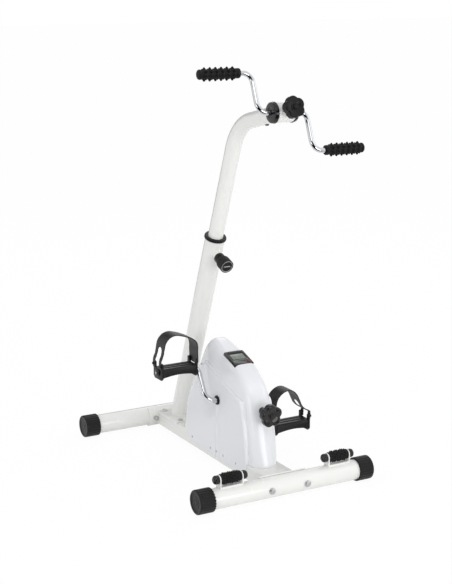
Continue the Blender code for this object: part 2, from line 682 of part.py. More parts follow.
def lower_mast():
    """The foot channel over the beam with the lower tube and the knob's boss welded on it."""
    inside = BEAM_WIDTH / 2 + TOUCH_GAP
    underside = BEAM_TOP + TOUCH_GAP
    outside = inside + FOOT_WALL
    top = underside + FOOT_PLATE
    channel = box("lower_mast", (-outside, FOOT_START_Y, FOOT_LIP_BOTTOM), (outside, FOOT_END_Y, top))
    obj = piece("lower_mast", channel, WHITE_PAINT)
    fuse(obj, rod("tube", LOWER_MAST_RADIUS, (0, 0, 0.035), (0, 0, LOWER_MAST_TOP)), MAST)
    boss_end = (0, -HEIGHT_BOSS_END, HEIGHT_SCREW_AT)
    boss_root = (0, -LOWER_MAST_RADIUS + 0.003, HEIGHT_SCREW_AT)
    fuse(obj, rod("boss", HEIGHT_BOSS_RADIUS, boss_end, boss_root), MAST)
    cut(obj, box("beam", (-inside, FOOT_START_Y - CUT_PAST, 0), (inside, FOOT_END_Y + CUT_PAST, underside)))
    bore = LOWER_MAST_RADIUS - LOWER_MAST_WALL
    bore_start = (top + 0.012) / math.cos(MAST_TILT)
    cut(obj, rod("bore", bore, (0, 0, bore_start), (0, 0, LOWER_MAST_TOP + CUT_PAST)), MAST)
    hole_start = (0, -HEIGHT_BOSS_END - CUT_PAST, HEIGHT_SCREW_AT)
    hole_end = (0, -LOWER_MAST_RADIUS + 0.010, HEIGHT_SCREW_AT)
    cut(obj, rod("hole", SCREW_HOLE_RADIUS, hole_start, hole_end), MAST)
    for x in (-FOOT_BOLT_X, FOOT_BOLT_X):
        for y in FOOT_BOLT_Y:
            cut(obj, rod("hole", BOLT_HOLE_RADIUS, (x, y, BEAM_TOP - CUT_PAST), (x, y, top + CUT_PAST)))


def mast_collar():
    """The plastic bush that guides the upper tube, with its rim on the lower tube's end."""
    bore = UPPER_MAST_RADIUS + RUNNING_GAP
    sleeve = LOWER_MAST_RADIUS - LOWER_MAST_WALL - TOUCH_GAP
    rim = TOUCH_GAP
    profile = ((COLLAR_RADIUS - 0.0015, rim + COLLAR_HEIGHT), (COLLAR_RADIUS, rim + COLLAR_HEIGHT - 0.0015),
               (COLLAR_RADIUS, rim), (sleeve, rim), (sleeve, -COLLAR_DEPTH), (bore, -COLLAR_DEPTH),
               (bore, rim + COLLAR_HEIGHT))
    turned("mast_collar", profile, BLACK_PLASTIC, MAST @ Matrix.Translation((0, 0, LOWER_MAST_TOP)))


def height_knob(owner):
    """The ribbed knob whose screw presses a pad on the upper tube."""
    screw_end = UPPER_MAST_RADIUS + PAD_GAP + HEIGHT_PAD_LENGTH + TOUCH_GAP
    start = HEIGHT_BOSS_END + TOUCH_GAP
    out = MAST @ facing((0, -1, 0), (0, 0, HEIGHT_SCREW_AT))
    head = plate("height_knob", ribbed_outline(HEIGHT_KNOB_RADIUS, 0.0008, HEIGHT_KNOB_RIBS),
                 HEIGHT_KNOB_END - HEIGHT_STEM_END, 0.002)
    middle = Matrix.Translation((0, 0, (HEIGHT_KNOB_END + HEIGHT_STEM_END) / 2))
    obj = piece("height_knob", head, BLACK_PLASTIC, out @ middle, owner)
    fuse(obj, rod("stem", HEIGHT_STEM_RADIUS, (0, 0, start), (0, 0, HEIGHT_STEM_END + 0.004)), out)
    fuse(obj, rod("screw", SCREW_RADIUS, (0, 0, screw_end), (0, 0, start + 0.006)), out)
    cut(obj, rod("dish", 0.0135, (0, 0, HEIGHT_KNOB_END - 0.002), (0, 0, HEIGHT_KNOB_END + CUT_PAST)), out)
    return obj


def height_pad(owner):
    start = UPPER_MAST_RADIUS + PAD_GAP
    out = MAST @ facing((0, -1, 0), (0, 0, HEIGHT_SCREW_AT))
    mesh = rod("height_pad", SCREW_RADIUS - TOUCH_GAP, (0, 0, start), (0, 0, start + HEIGHT_PAD_LENGTH))
    piece("height_pad", mesh, NYLON, out, owner)


def top_corner():
    """Where the mast's axis meets the line of the top run."""
    slope = math.tan(TOP_RUN_RISE)
    lean = math.tan(MAST_TILT)
    y = (MAST_FLOOR_Y - lean * (HAND_AXIS.z + slope * HAND_AXIS.y)) / (1 - lean * slope)
    return Vector((0, y, HAND_AXIS.z - slope * (y - HAND_AXIS.y)))


def upper_mast(owner):
    """The bent upper tube, the crank's boss on its end and the nut for the upper knob."""
    lean = MAST @ Vector((0, 0, 1)) - MAST @ Vector((0, 0, 0))
    start = MAST @ Vector((0, 0, UPPER_MAST_BOTTOM))
    corners = (start, top_corner(), HAND_AXIS)
    path = rounded_path(corners, (UPPER_BEND_RADIUS,), 10)
    obj = piece("upper_mast", tube("upper_mast", path, UPPER_MAST_RADIUS, 24), WHITE_PAINT, Matrix(), owner)
    ends = (HAND_AXIS - Vector((BOSS_HALF_LENGTH, 0, 0)), HAND_AXIS + Vector((BOSS_HALF_LENGTH, 0, 0)))
    fuse(obj, rod("boss", BOSS_RADIUS, *ends))
    knob = upper_knob_frame()
    fuse(obj, rod("nut", UPPER_NUT_RADIUS, (0, 0, BOSS_RADIUS - 0.002), (0, 0, UPPER_NUT_END)), knob)
    past = Vector((CUT_PAST, 0, 0))
    cut(obj, rod("boss_bore", BOSS_RADIUS - BOSS_WALL, ends[0] - past, ends[1] + past))
    bore_ends = ((0, 0, BOSS_RADIUS - 0.009), (0, 0, UPPER_NUT_END + CUT_PAST))
    cut(obj, rod("nut_bore", SCREW_HOLE_RADIUS, *bore_ends), knob)
    stop = HAND_AXIS + (top_corner() - HAND_AXIS).normalized() * (BOSS_RADIUS + 0.008)
    bore_path = rounded_path((start - lean * CUT_PAST, top_corner(), stop), (UPPER_BEND_RADIUS,), 5)
    cut(obj, tube("tube_bore", bore_path, UPPER_MAST_RADIUS - UPPER_MAST_WALL, 12))


def upper_knob_frame():
    """At the hand crank's axis, Z out along the upper knob's screw."""
    return facing((0, -math.cos(UPPER_KNOB_ANGLE), math.sin(UPPER_KNOB_ANGLE)), HAND_AXIS)


# Knobs
def star_knob(name, frame, radius, lobes, start, thickness, stem_start, stem_radius, screw_end, owner):
    """A star grip on a stem, with its screw moulded in; Z runs outwards."""
    body = plate(name, star_outline(radius, lobes, radius * KNOB_HOLLOW), thickness, 0.004)
    middle = Matrix.Translation((0, 0, start + thickness / 2))
    obj = piece(name, body, BLACK_PLASTIC, frame @ middle, owner)
    fuse(obj, rod("stem", stem_radius, (0, 0, stem_start), (0, 0, start + 0.005)), frame)
    fuse(obj, rod("screw", SCREW_RADIUS, (0, 0, screw_end), (0, 0, stem_start + 0.004)), frame)
    crown = start + thickness
    dish = rod("dish", radius * 0.46, (0, 0, crown - 0.0022), (0, 0, crown + CUT_PAST), radius * 0.72)
    cut(obj, dish, frame)
    fuse(obj, rod("cap", radius * 0.40, (0, 0, crown - 0.0040), (0, 0, crown - 0.0004), radius * 0.34), frame)
    return obj


# Hand crank
def crank_corners(axis, radius, angle, arm_x, end_x):
    """Corners of a two-throw crank: the left spindle is up, the right one is down."""
    up = axis + Vector((0, math.sin(angle), math.cos(angle))) * radius
    down = axis - Vector((0, math.sin(angle), math.cos(angle))) * radius
    places = ((-end_x, up), (-arm_x, up), (-arm_x, axis), (arm_x, axis), (arm_x, down), (end_x, down))
    return [Vector((x, centre.y, centre.z)) for x, centre in places]


def studded_sleeve(name, frame, length, radius, collar, stud_top, rings, bore, blind, owner):
    """A rubber sleeve along Z, with rings of staggered blunt studs between two smooth collars."""
    profile = [(collar * 0.75, length), (collar, length - 0.002), (collar, length - 0.008),
               (radius, length - 0.009), (radius, 0.009), (collar, 0.008), (collar, 0), (bore, 0)]
    if blind:
        profile = [(0, length), *profile, (bore, length - 0.006), (0, length - 0.006)]
    else:
        profile = [(bore, length), *profile]
    obj = turned(name, profile, BLACK_RUBBER, frame, owner)
    pitch = (length - 0.020) / rings
    foot = radius - STUD_ROOT
    studs = bmesh.new()
    for ring in range(rings):
        for index in range(STUDS_PER_RING):
            turn = 2 * math.pi * (index + 0.5 * (ring % 2)) / STUDS_PER_RING
            out = Vector((math.cos(turn), math.sin(turn), 0))
            middle = out * ((foot + stud_top) / 2) + Vector((0, 0, 0.010 + pitch * (ring + 0.5)))
            bmesh.ops.create_cone(studs, cap_ends=True, segments=5, radius1=STUD_FOOT_RADIUS,
                                  radius2=STUD_TIP_RADIUS, depth=stud_top - foot, matrix=facing(out, middle))
    fuse(obj, mesh_from(studs, "studs"), frame)


def hand_crank(mast_top):
    axis = axis_empty("hand_crank_axis", HAND_AXIS)
    corners = crank_corners(HAND_AXIS, HAND_CRANK_RADIUS, HAND_CRANK_ANGLE, HAND_ARM_X, HAND_ROD_END)
    path = rounded_path(corners, [HAND_BEND_RADIUS] * 4, 4)
    piece("hand_crank", tube("hand_crank", path, HAND_ROD_RADIUS, 12), CHROME, Matrix(), axis)
    bore = HAND_ROD_RADIUS + RUNNING_GAP
    for side in (-1, 1):
        name = side_name(side)
        face = BOSS_HALF_LENGTH + TOUCH_GAP
        plug = BOSS_RADIUS - BOSS_WALL - TOUCH_GAP
        profile = ((DISC_NECK_RADIUS, face + DISC_THICKNESS), (DISC_RADIUS - 0.001, face + 0.0012),
                   (DISC_RADIUS - 0.0012, face), (plug, face), (plug, face - DISC_PLUG_LENGTH),
                   (bore, face - DISC_PLUG_LENGTH), (bore, face + DISC_THICKNESS))
        turned(f"hand_crank_disc_{name}", profile, BLACK_PLASTIC, facing((side, 0, 0), HAND_AXIS), mast_top)
        spindle = corners[0] if side < 0 else corners[-1]
        owner = axis_empty(f"hand_grip_{name}_axis", spindle)
        frame = facing((side, 0, 0), (side * GRIP_START, spindle.y, spindle.z))
        studded_sleeve(f"hand_grip_{name}", frame, GRIP_END - GRIP_START, GRIP_RADIUS, GRIP_COLLAR_RADIUS,
                       GRIP_STUD_RADIUS, GRIP_RINGS, bore, True, owner)


def upper_knob(mast_top):
    knob = upper_knob_frame()
    pad_start = HAND_ROD_RADIUS + PAD_GAP
    pad_end = pad_start + HAND_PAD_LENGTH
    owner = axis_empty("upper_knob_axis", HAND_AXIS)
    star_knob("upper_knob", knob, UPPER_KNOB_RADIUS, KNOB_LOBES, UPPER_KNOB_START, UPPER_KNOB_THICKNESS,
              UPPER_NUT_END + TOUCH_GAP, 0.011, pad_end + TOUCH_GAP, owner)
    slide = axis_empty("hand_crank_pad_axis", HAND_AXIS)
    mesh = rod("hand_crank_pad", SCREW_RADIUS - TOUCH_GAP, (0, 0, pad_start), (0, 0, pad_end))
    piece("hand_crank_pad", mesh, NYLON, knob, slide)


def mast():
    lower_mast()
    mast_foot_bolts()
    mast_collar()
    height_axis = MAST @ Vector((0, 0, HEIGHT_SCREW_AT))
    height_knob(axis_empty("height_knob_axis", height_axis))
    height_pad(axis_empty("height_pad_axis", height_axis))
    mast_top = axis_empty("mast_height_axis", MAST @ Vector((0, 0, LOWER_MAST_TOP)))
    upper_mast(mast_top)
    hand_crank(mast_top)
    upper_knob(mast_top)


# Pedals
def pedal(side, spindle, owner):
    """The moulded pedal: ribbed tread, arched skirts, end flanges with strap ears, and a hub tube."""
    name = f"pedal_{side_name(side)}"
    here = Matrix.Translation((0, spindle.y, spindle.z))
    start = PEDAL_START + 0.0005
    end = PEDAL_END - 0.0005
    arch = [(side * (start + (end - start) * step / 8), -0.0115 + 0.0055 * math.sin(math.pi * step / 8))
            for step in range(9)]
    outline = [*arch, (side * end, PEDAL_PLATE_TOP), (side * start, PEDAL_PLATE_TOP)]
    obj = piece(name, plate(name, outline, 2 * PEDAL_HALF_DEPTH), BLACK_PLASTIC, here @ IN_XZ, owner)
    inner_y = PEDAL_HALF_DEPTH - PEDAL_SKIRT
    low = (side * (PEDAL_START + PEDAL_FLANGE), -inner_y, -0.040)
    high = (side * (PEDAL_END - PEDAL_FLANGE), inner_y, PEDAL_PLATE_TOP - PEDAL_PLATE)
    cut(obj, box("hollow", low, high), here)
    half = PEDAL_FLANGE_HALF_DEPTH
    ear = half - PEDAL_EAR_WIDTH
    ear_top = PEDAL_EAR_TOP
    for place in (PEDAL_START, PEDAL_END - PEDAL_FLANGE):
        flange = [(-half, PEDAL_FLANGE_BOTTOM + 0.006), (-half + 0.006, PEDAL_FLANGE_BOTTOM),
                  (half - 0.006, PEDAL_FLANGE_BOTTOM), (half, PEDAL_FLANGE_BOTTOM + 0.006),
                  (half, ear_top - 0.003), (half - 0.003, ear_top), (ear + 0.003, ear_top),
                  (ear, ear_top - 0.003),
                  (ear, PEDAL_FLANGE_TOP + 0.003), (ear - 0.003, PEDAL_FLANGE_TOP),
                  (-ear + 0.003, PEDAL_FLANGE_TOP), (-ear, PEDAL_FLANGE_TOP + 0.003),
                  (-ear, ear_top - 0.003), (-ear - 0.003, ear_top),
                  (-half + 0.003, ear_top), (-half, ear_top - 0.003)]
        middle = Matrix.Translation((side * (place + PEDAL_FLANGE / 2), 0, 0))
        fuse(obj, plate("flange", flange, PEDAL_FLANGE), here @ middle @ IN_YZ)
    for bar in (-1, 0, 1):
        y = bar * PEDAL_BAR_STEP
        low = (side * (PEDAL_START + 0.002), y - PEDAL_BAR_WIDTH / 2, PEDAL_PLATE_TOP - 0.001)
        high = (side * (PEDAL_END - 0.002), y + PEDAL_BAR_WIDTH / 2, PEDAL_BAR_TOP)
        fuse(obj, box("bar", low, high, 0.0008), here)
    hub_ends = ((side * (PEDAL_START + 0.001), 0, 0), (side * (PEDAL_END - 0.001), 0, 0))
    hub = rod("hub", PEDAL_HUB_RADIUS, *hub_ends)
    fuse(obj, hub, here)
    bore = PEDAL_ROD_RADIUS + RUNNING_GAP
    past = CUT_PAST
    cut(obj, rod("bore", bore, (side * (PEDAL_START - past), 0, 0), (side * (PEDAL_END + past), 0, 0)), here)
    bend_end = PEDAL_ARM_X + SPINDLE_BEND_RADIUS
    reach = bend_end - PEDAL_START
    inside = SPINDLE_BEND_RADIUS - PEDAL_ROD_RADIUS
    rod_edge = SPINDLE_BEND_RADIUS - math.sqrt(inside ** 2 - reach ** 2)
    widening = (rod_edge - PEDAL_ROD_RADIUS + RUNNING_GAP) / reach
    mouth = (side * (PEDAL_START - past), 0, 0)
    wide = bore + widening * (reach + past)
    cut(obj, rod("mouth", wide, mouth, (side * bend_end, 0, 0), bore + 0.0002), here)
    strap_pins(obj, side, here)


def strap_pins(obj, side, here):
    """Headed pins on the outer ears and plain ones on the inner ears hold the strap's ends."""
    y = PEDAL_FLANGE_HALF_DEPTH - PEDAL_EAR_WIDTH / 2
    strap_end = 2 * TOUCH_GAP + STRAP_THICKNESS
    for row in (-y, y):
        outer = side * (PEDAL_END - 0.002)
        tip = side * (PEDAL_END + strap_end + 0.0015)
        pin_ends = ((outer, row, STRAP_PIN_HEIGHT), (tip, row, STRAP_PIN_HEIGHT))
        fuse(obj, rod("pin", STUD_PIN_RADIUS, *pin_ends), here)
        under_head = (side * (PEDAL_END + strap_end), row, STRAP_PIN_HEIGHT)
        top = (side * (PEDAL_END + strap_end + 0.0022), row, STRAP_PIN_HEIGHT)
        fuse(obj, rod("head", STUD_HEAD_RADIUS, under_head, top, STUD_HEAD_RADIUS - 0.001), here)
        inner = (side * (PEDAL_START + 0.002), row, STRAP_PIN_HEIGHT)
        end = (side * (PEDAL_START - TOUCH_GAP - STRAP_THICKNESS * 0.8), row, STRAP_PIN_HEIGHT)
        fuse(obj, rod("pin", STUD_PIN_RADIUS, inner, end), here)


def strap(side, spindle, owner):
    """The rubber foot strap: a broad band whose outer side splits into two legs."""
    name = f"pedal_strap_{side_name(side)}"
    here = Matrix.Translation((0, spindle.y, spindle.z))
    half = STRAP_THICKNESS / 2
    inner = PEDAL_START - TOUCH_GAP - half
    outer = PEDAL_END + TOUCH_GAP + half
    over = [(PEDAL_START + share * (PEDAL_END - PEDAL_START), height)
            for share, height in STRAP_ROUTES[side_name(side)]]
    bend = smooth_path([(inner, STRAP_STRAIGHT), *over, (outer, STRAP_STRAIGHT)], 2)
    path = [(inner, STRAP_INNER_END), *bend, (outer, STRAP_OUTER_END)]
    bm = bmesh.new()
    rows = [[bm.verts.new((side * out, y, height)) for y in (-STRAP_WIDTH / 2, STRAP_WIDTH / 2)]
            for out, height in path]
    for first, second in zip(rows, rows[1:]):
        bm.faces.new((first[0], first[1], second[1], second[0]))
    obj = piece(name, mesh_from(bm, name), BLACK_RUBBER, here, owner)
    solidify = obj.modifiers.new("Thickness", "SOLIDIFY")
    solidify.thickness = STRAP_THICKNESS
    solidify.offset = 0.0
    solidify.use_even_offset = True
    radius = STRAP_SLOT_WIDTH / 2
    slot = [*arc((0, STRAP_SLOT_TOP - radius), radius, 0, 180, 8), (-radius, 0), (radius, 0)]
    cut(obj, plate("slot", slot, 0.030), here @ Matrix.Translation((side * outer, 0, 0)) @ IN_YZ)
    ear = PEDAL_FLANGE_HALF_DEPTH - PEDAL_EAR_WIDTH / 2
    for row in (-ear, ear):
        for place in (inner, outer):
            low = (side * (place - 0.005), row, STRAP_PIN_HEIGHT)
            high = (side * (place + 0.005), row, STRAP_PIN_HEIGHT)
            cut(obj, rod("pin_hole", STUD_PIN_RADIUS + TOUCH_GAP, low, high), here)


def spindle_cap(side, spindle, owner):
    """The bright push-on cap on the rod's end."""
    seat = PEDAL_END + TOUCH_GAP
    top = SPINDLE_END + TOUCH_GAP + 0.0015
    bore = PEDAL_ROD_RADIUS + TOUCH_GAP
    profile = ((0, top), (SPINDLE_CAP_RADIUS * 0.6, top), (SPINDLE_CAP_RADIUS - 0.001, seat + 0.003),
               (SPINDLE_CAP_RADIUS, seat + 0.0015), (SPINDLE_CAP_RADIUS, seat), (bore, seat),
               (bore, SPINDLE_END + TOUCH_GAP), (0, SPINDLE_END + TOUCH_GAP))
    turned(f"spindle_cap_{side_name(side)}", profile, CHROME,
           facing((side, 0, 0), (0, spindle.y, spindle.z)), owner)


# Drive
def resistance_wheel(axis):
    """A turned wheel with a deep rim, a thin web and a long hub."""
    bore = PEDAL_ROD_RADIUS + TOUCH_GAP
    rim = WHEEL_RADIUS - RIM_DEPTH
    profile = ((WHEEL_RADIUS, RIM_HALF_WIDTH), (WHEEL_RADIUS, -RIM_HALF_WIDTH), (rim, -RIM_HALF_WIDTH),
               (rim, -WEB_HALF_WIDTH), (HUB_RADIUS, -WEB_HALF_WIDTH), (HUB_RADIUS, -HUB_HALF_LENGTH),
               (bore, -HUB_HALF_LENGTH), (bore, HUB_HALF_LENGTH), (HUB_RADIUS, HUB_HALF_LENGTH),
               (HUB_RADIUS, WEB_HALF_WIDTH), (rim, WEB_HALF_WIDTH), (rim, RIM_HALF_WIDTH))
    turned("resistance_wheel", profile, CAST_IRON, facing((1, 0, 0), PEDAL_AXIS), axis)


def pedal_drive():
    axis = axis_empty("pedal_crank_axis", PEDAL_AXIS)
    corners = crank_corners(PEDAL_AXIS, PEDAL_CRANK_RADIUS, PEDAL_CRANK_ANGLE, PEDAL_ARM_X, SPINDLE_END)
    radii = (SPINDLE_BEND_RADIUS, PEDAL_BEND_RADIUS, PEDAL_BEND_RADIUS, SPINDLE_BEND_RADIUS)
    path = rounded_path(corners, radii, 4)
    piece("pedal_crank", tube("pedal_crank", path, PEDAL_ROD_RADIUS, 14), CHROME, Matrix(), axis)
    resistance_wheel(axis)
    for side, spindle in ((-1, corners[0]), (1, corners[-1])):
        owner = axis_empty(f"pedal_{side_name(side)}_axis", spindle)
        pedal(side, spindle, owner)
        strap(side, spindle, owner)
        spindle_cap(side, spindle, axis)


def bearing_bracket():
    """A welded bracket on the beam: a base and two uprights with the bushes' seats."""
    outline = [(-BRACKET_HALF_FOOT, 0), (BRACKET_HALF_FOOT, 0)]
    rise = PEDAL_AXIS.z - BEAM_TOP - TOUCH_GAP
    outline += arc((0, rise), BRACKET_HEAD_RADIUS, -10, 190, 12)
    outside = BRACKET_X + BRACKET_WALL / 2
    frame = Matrix.Translation((0, PEDAL_AXIS.y, BEAM_TOP + TOUCH_GAP))
    obj = piece("bearing_bracket", plate("bearing_bracket", outline, 2 * outside), STEEL, frame @ IN_YZ)
    inside = BRACKET_X - BRACKET_WALL / 2
    past = BRACKET_HALF_FOOT + CUT_PAST
    cut(obj, box("gap", (-inside, -past, BRACKET_BASE), (inside, past, rise + 0.1)), frame)
    seat = BUSH_RADIUS + TOUCH_GAP
    cut(obj, rod("seat", seat, (-outside - CUT_PAST, 0, rise), (outside + CUT_PAST, 0, rise)), frame)


def crank_bushes():
    bore = PEDAL_ROD_RADIUS + RUNNING_GAP
    inside = BRACKET_X - BRACKET_WALL / 2 - TOUCH_GAP
    outside = BRACKET_X + BRACKET_WALL / 2
    for side in (-1, 1):
        profile = ((BUSH_RADIUS, outside), (BUSH_RADIUS, inside), (BUSH_FLANGE_RADIUS, inside),
                   (BUSH_FLANGE_RADIUS, inside - BUSH_FLANGE), (bore, inside - BUSH_FLANGE), (bore, outside))
        turned(f"crank_bush_{side_name(side)}", profile, NYLON, facing((side, 0, 0), PEDAL_AXIS))


# Cover
def fold_panels(bm):
    """Turns the rear top corner of each panel inwards behind a fold line."""
    top = Vector((0, *FOLD_TOP))
    foot = Vector((0, *FOLD_FOOT))
    across = Vector((0, top.z - foot.z, foot.y - top.y)).normalized()
    for place, normal in ((top, across), (foot, Vector((0, 0, 1)))):
        geometry = bm.verts[:] + bm.edges[:] + bm.faces[:]
        bmesh.ops.bisect_plane(bm, geom=geometry, dist=0.000001, plane_co=place, plane_no=normal)
    for vert in bm.verts:
        behind = min(max((vert.co - top).dot(across) / 0.025, 0.0), 1.0)
        rise = min(max((vert.co.z - foot.z) / (top.z - foot.z), 0.0), 1.0)
        vert.co.x -= math.copysign(FOLD_DEPTH * behind * rise, vert.co.x)


def panel_body(distance, bottom):
    """The slab between the two side panels, moved in by a distance."""
    outline = inset(PANEL_OUTLINE, distance)
    outline[0] = (outline[0][0], bottom)
    outline[-1] = (outline[-1][0], bottom)
    edge = max(COVER_EDGE - distance, 0.0008)
    mesh = plate("panels", outline, 2 * (COVER_HALF_WIDTH - distance), edge, 1)
    bm = bmesh.new()
    bm.from_mesh(mesh)
    bm.transform(IN_YZ)
    fold_panels(bm)
    return mesh_from(bm, "cover_panels")


def hood_body(distance, bottom):
    """The hood from the nose over the top to the tail, a loft whose sections change from round to square."""
    sections = []
    for foot, crown, set_back, fullness, lean in HOOD_SECTIONS:
        foot = Vector((0, *foot))
        crown = Vector((0, *crown))
        out = (crown - foot).normalized()
        height = (crown - foot).length - distance
        half = COVER_HALF_WIDTH - set_back - distance
        root = -HOOD_ROOT - 2 * distance
        section = [foot + out * root + Vector((half, 0, 0))]
        for step in range(HOOD_POINTS + 1):
            angle = math.pi * step / HOOD_POINTS
            along = math.copysign(abs(math.cos(angle)) ** (2 / fullness), math.cos(angle))
            rise = math.sin(angle) ** (2 / fullness)
            section.append(foot + out * (height * rise) + Vector((half * along * (1 - lean * rise), 0, 0)))
        section.append(foot + out * root - Vector((half, 0, 0)))
        sections.append(section)
    if distance:
        drop = Vector((0, 0, bottom - COVER_OVER_BEAM))
        sections.insert(0, [point + drop for point in sections[0]])
        sections.append([point + drop for point in sections[-1]])
    return loft("cover_hood", sections)


def counter_frame():
    return Matrix.Translation(COUNTER_CENTRE) @ Matrix.Rotation(COUNTER_SLOPE, 4, "X")


def cover():
    """The one-piece moulded cover, open below, with slots that let it slide down over the crank."""
    obj = piece("cover", panel_body(0, COVER_BOTTOM), WHITE_SHELL)
    fuse(obj, hood_body(0, COVER_OVER_BEAM))
    cut(obj, panel_body(COVER_WALL, 0.0))
    cut(obj, hood_body(COVER_WALL, 0.030))
    half_beam = BEAM_WIDTH / 2 + TOUCH_GAP / 2
    cut(obj, box("beam", (-half_beam, -0.260, 0), (half_beam, 0.180, COVER_OVER_BEAM)))
    slot = SLOT_WIDTH / 2
    low = (-0.060, PEDAL_AXIS.y - slot, 0)
    cut(obj, box("slot", low, (0.060, PEDAL_AXIS.y + slot, PEDAL_AXIS.z)))
    ends = (Vector((-0.060, *PEDAL_AXIS.yz)), Vector((0.060, *PEDAL_AXIS.yz)))
    cut(obj, rod("crank_hole", slot + 0.0002, *ends))
    knob_hole = ((0, -0.230, LOWER_KNOB_Z), (0, -0.185, LOWER_KNOB_Z))
    cut(obj, rod("knob_hole", LOWER_KNOB_STEM_RADIUS + RUNNING_GAP, *knob_hole))
    frame = counter_frame()
    half_x = COUNTER_WIDTH / 2 + 0.012
    half_y = COUNTER_LENGTH / 2 + TOUCH_GAP
    cut(obj, box("seat", (-half_x, -half_y - 0.004, 0), (half_x, half_y, 0.030)), frame)
    body_x = COUNTER_WIDTH / 2 - COUNTER_BODY_INSET + TOUCH_GAP
    body_y = COUNTER_LENGTH / 2 - COUNTER_BODY_INSET + TOUCH_GAP
    cut(obj, box("window", (-body_x, -body_y, -0.020), (body_x, body_y, CUT_PAST)), frame)


def slot_covers():
    """The strips that close the cover's slots below the crank holes."""
    for side in (-1, 1):
        name = f"slot_cover_{side_name(side)}"
        half = SLOT_WIDTH / 2 - TOUCH_GAP
        skin = COVER_HALF_WIDTH - COVER_WALL
        y = PEDAL_AXIS.y
        top = PEDAL_AXIS.z - 0.001
        face = box(name, (side * (skin - TOUCH_GAP - 0.001), y - half, COVER_BOTTOM + 0.0002),
                   (side * COVER_HALF_WIDTH, y + half, top))
        obj = piece(name, face, WHITE_SHELL)
        wide = SLOT_WIDTH / 2 + SLOT_FLANGE
        inner = skin - TOUCH_GAP - SLOT_FLANGE_THICKNESS
        fuse(obj, box("flange", (side * inner, y - wide, COVER_OVER_BEAM + 0.001),
                      (side * (skin - TOUCH_GAP), y + wide, PEDAL_AXIS.z - 0.0015)))
        beam_side = BEAM_WIDTH / 2 + TOUCH_GAP / 2
        cut(obj, box("beam", (0, y - wide - 0.01, 0), (side * beam_side, y + wide + 0.01, COVER_OVER_BEAM)))
        ends = (Vector((side * 0.030, *PEDAL_AXIS.yz)), Vector((side * 0.060, *PEDAL_AXIS.yz)))
        cut(obj, rod("hole", SLOT_WIDTH / 2 + 0.0002, *ends))


def crank_rings():
    """Black rings that close the crank holes round the rod."""
    bore = PEDAL_ROD_RADIUS + RUNNING_GAP
    face = COVER_HALF_WIDTH + TOUCH_GAP
    back = COVER_HALF_WIDTH - COVER_WALL
    for side in (-1, 1):
        profile = ((RING_RADIUS - 0.001, face + RING_THICKNESS), (RING_RADIUS, face + RING_THICKNESS - 0.001),
                   (RING_RADIUS, face), (RING_SLEEVE_RADIUS, face), (RING_SLEEVE_RADIUS, back), (bore, back),
                   (bore, face + RING_THICKNESS))
        turned(f"crank_ring_{side_name(side)}", profile, BLACK_PLASTIC, facing((side, 0, 0), PEDAL_AXIS))


# Counter
def counter():
    """The counter's housing in its seat on the cover, its screen and its button."""
    frame = counter_frame()
    half_x = COUNTER_WIDTH / 2
    half_y = COUNTER_LENGTH / 2
    low = (-half_x, -half_y, TOUCH_GAP)
    bezel = box("counter_housing", low, (half_x, half_y, TOUCH_GAP + COUNTER_FLANGE), 0.001)
    obj = piece("counter_housing", bezel, BLACK_PLASTIC, frame)
    body_x = half_x - COUNTER_BODY_INSET
    body_y = half_y - COUNTER_BODY_INSET
    body = box("body", (-body_x, -body_y, -COUNTER_BODY_DEPTH), (body_x, body_y, TOUCH_GAP + 0.001))
    fuse(obj, body, frame)
    top = TOUCH_GAP + COUNTER_FLANGE
    screen_x = SCREEN_WIDTH / 2
    screen_y = SCREEN_LENGTH / 2
    recess = top - SCREEN_THICKNESS - 0.0008
    gap = TOUCH_GAP
    cut(obj, box("recess", (-screen_x - gap, SCREEN_Y - screen_y - gap, recess),
                 (screen_x + gap, SCREEN_Y + screen_y + gap, top + CUT_PAST)), frame)
    floor = top - BUTTON_DEPTH - 0.002
    cut(obj, rod("button_hole", BUTTON_RADIUS + TOUCH_GAP, (BUTTON_X, BUTTON_Y, floor),
                 (BUTTON_X, BUTTON_Y, top + CUT_PAST)), frame)
    glass = box("counter_screen", (-screen_x, SCREEN_Y - screen_y, recess + gap),
                (screen_x, SCREEN_Y + screen_y, recess + gap + SCREEN_THICKNESS))
    piece("counter_screen", glass, SCREEN, frame)
    owner = axis_empty("counter_button_axis", frame @ Vector((BUTTON_X, BUTTON_Y, top)))
    button_top = top + BUTTON_PROUD
    profile = ((0, button_top), (BUTTON_RADIUS * 0.5, button_top - 0.0002),
               (BUTTON_RADIUS * 0.85, button_top - 0.0008), (BUTTON_RADIUS, button_top - 0.0016),
               (BUTTON_RADIUS, top - BUTTON_DEPTH), (0, top - BUTTON_DEPTH))
    turned("counter_button", profile, RED_PLASTIC, frame @ Matrix.Translation((BUTTON_X, BUTTON_Y, 0)), owner)


# Brake
def lower_knob():
    """The star knob on the nose; its screw turns in the brake bracket and moves the shoe."""
    knob = facing((0, -1, 0), (0, 0, LOWER_KNOB_Z))
    start = -LOWER_KNOB_CENTRE_Y - LOWER_KNOB_THICKNESS / 2
    owner = axis_empty("lower_knob_axis", (0, LOWER_KNOB_CENTRE_Y, LOWER_KNOB_Z))
    screw_end = -SHOE_BACK_Y - SHOE_SCREW_DEPTH
    stem_start = -BRAKE_PLATE_Y + BRAKE_PLATE / 2 + TOUCH_GAP
    obj = star_knob("lower_knob", knob, LOWER_KNOB_RADIUS, KNOB_LOBES, start, LOWER_KNOB_THICKNESS,
                    stem_start, LOWER_KNOB_STEM_RADIUS, screw_end, owner)
    collar_start = -BRAKE_PLATE_Y - BRAKE_PLATE / 2 - TOUCH_GAP
    collar_ends = ((0, 0, collar_start - BRAKE_COLLAR_THICKNESS), (0, 0, collar_start))
    fuse(obj, rod("collar", BRAKE_COLLAR_RADIUS, *collar_ends), knob)


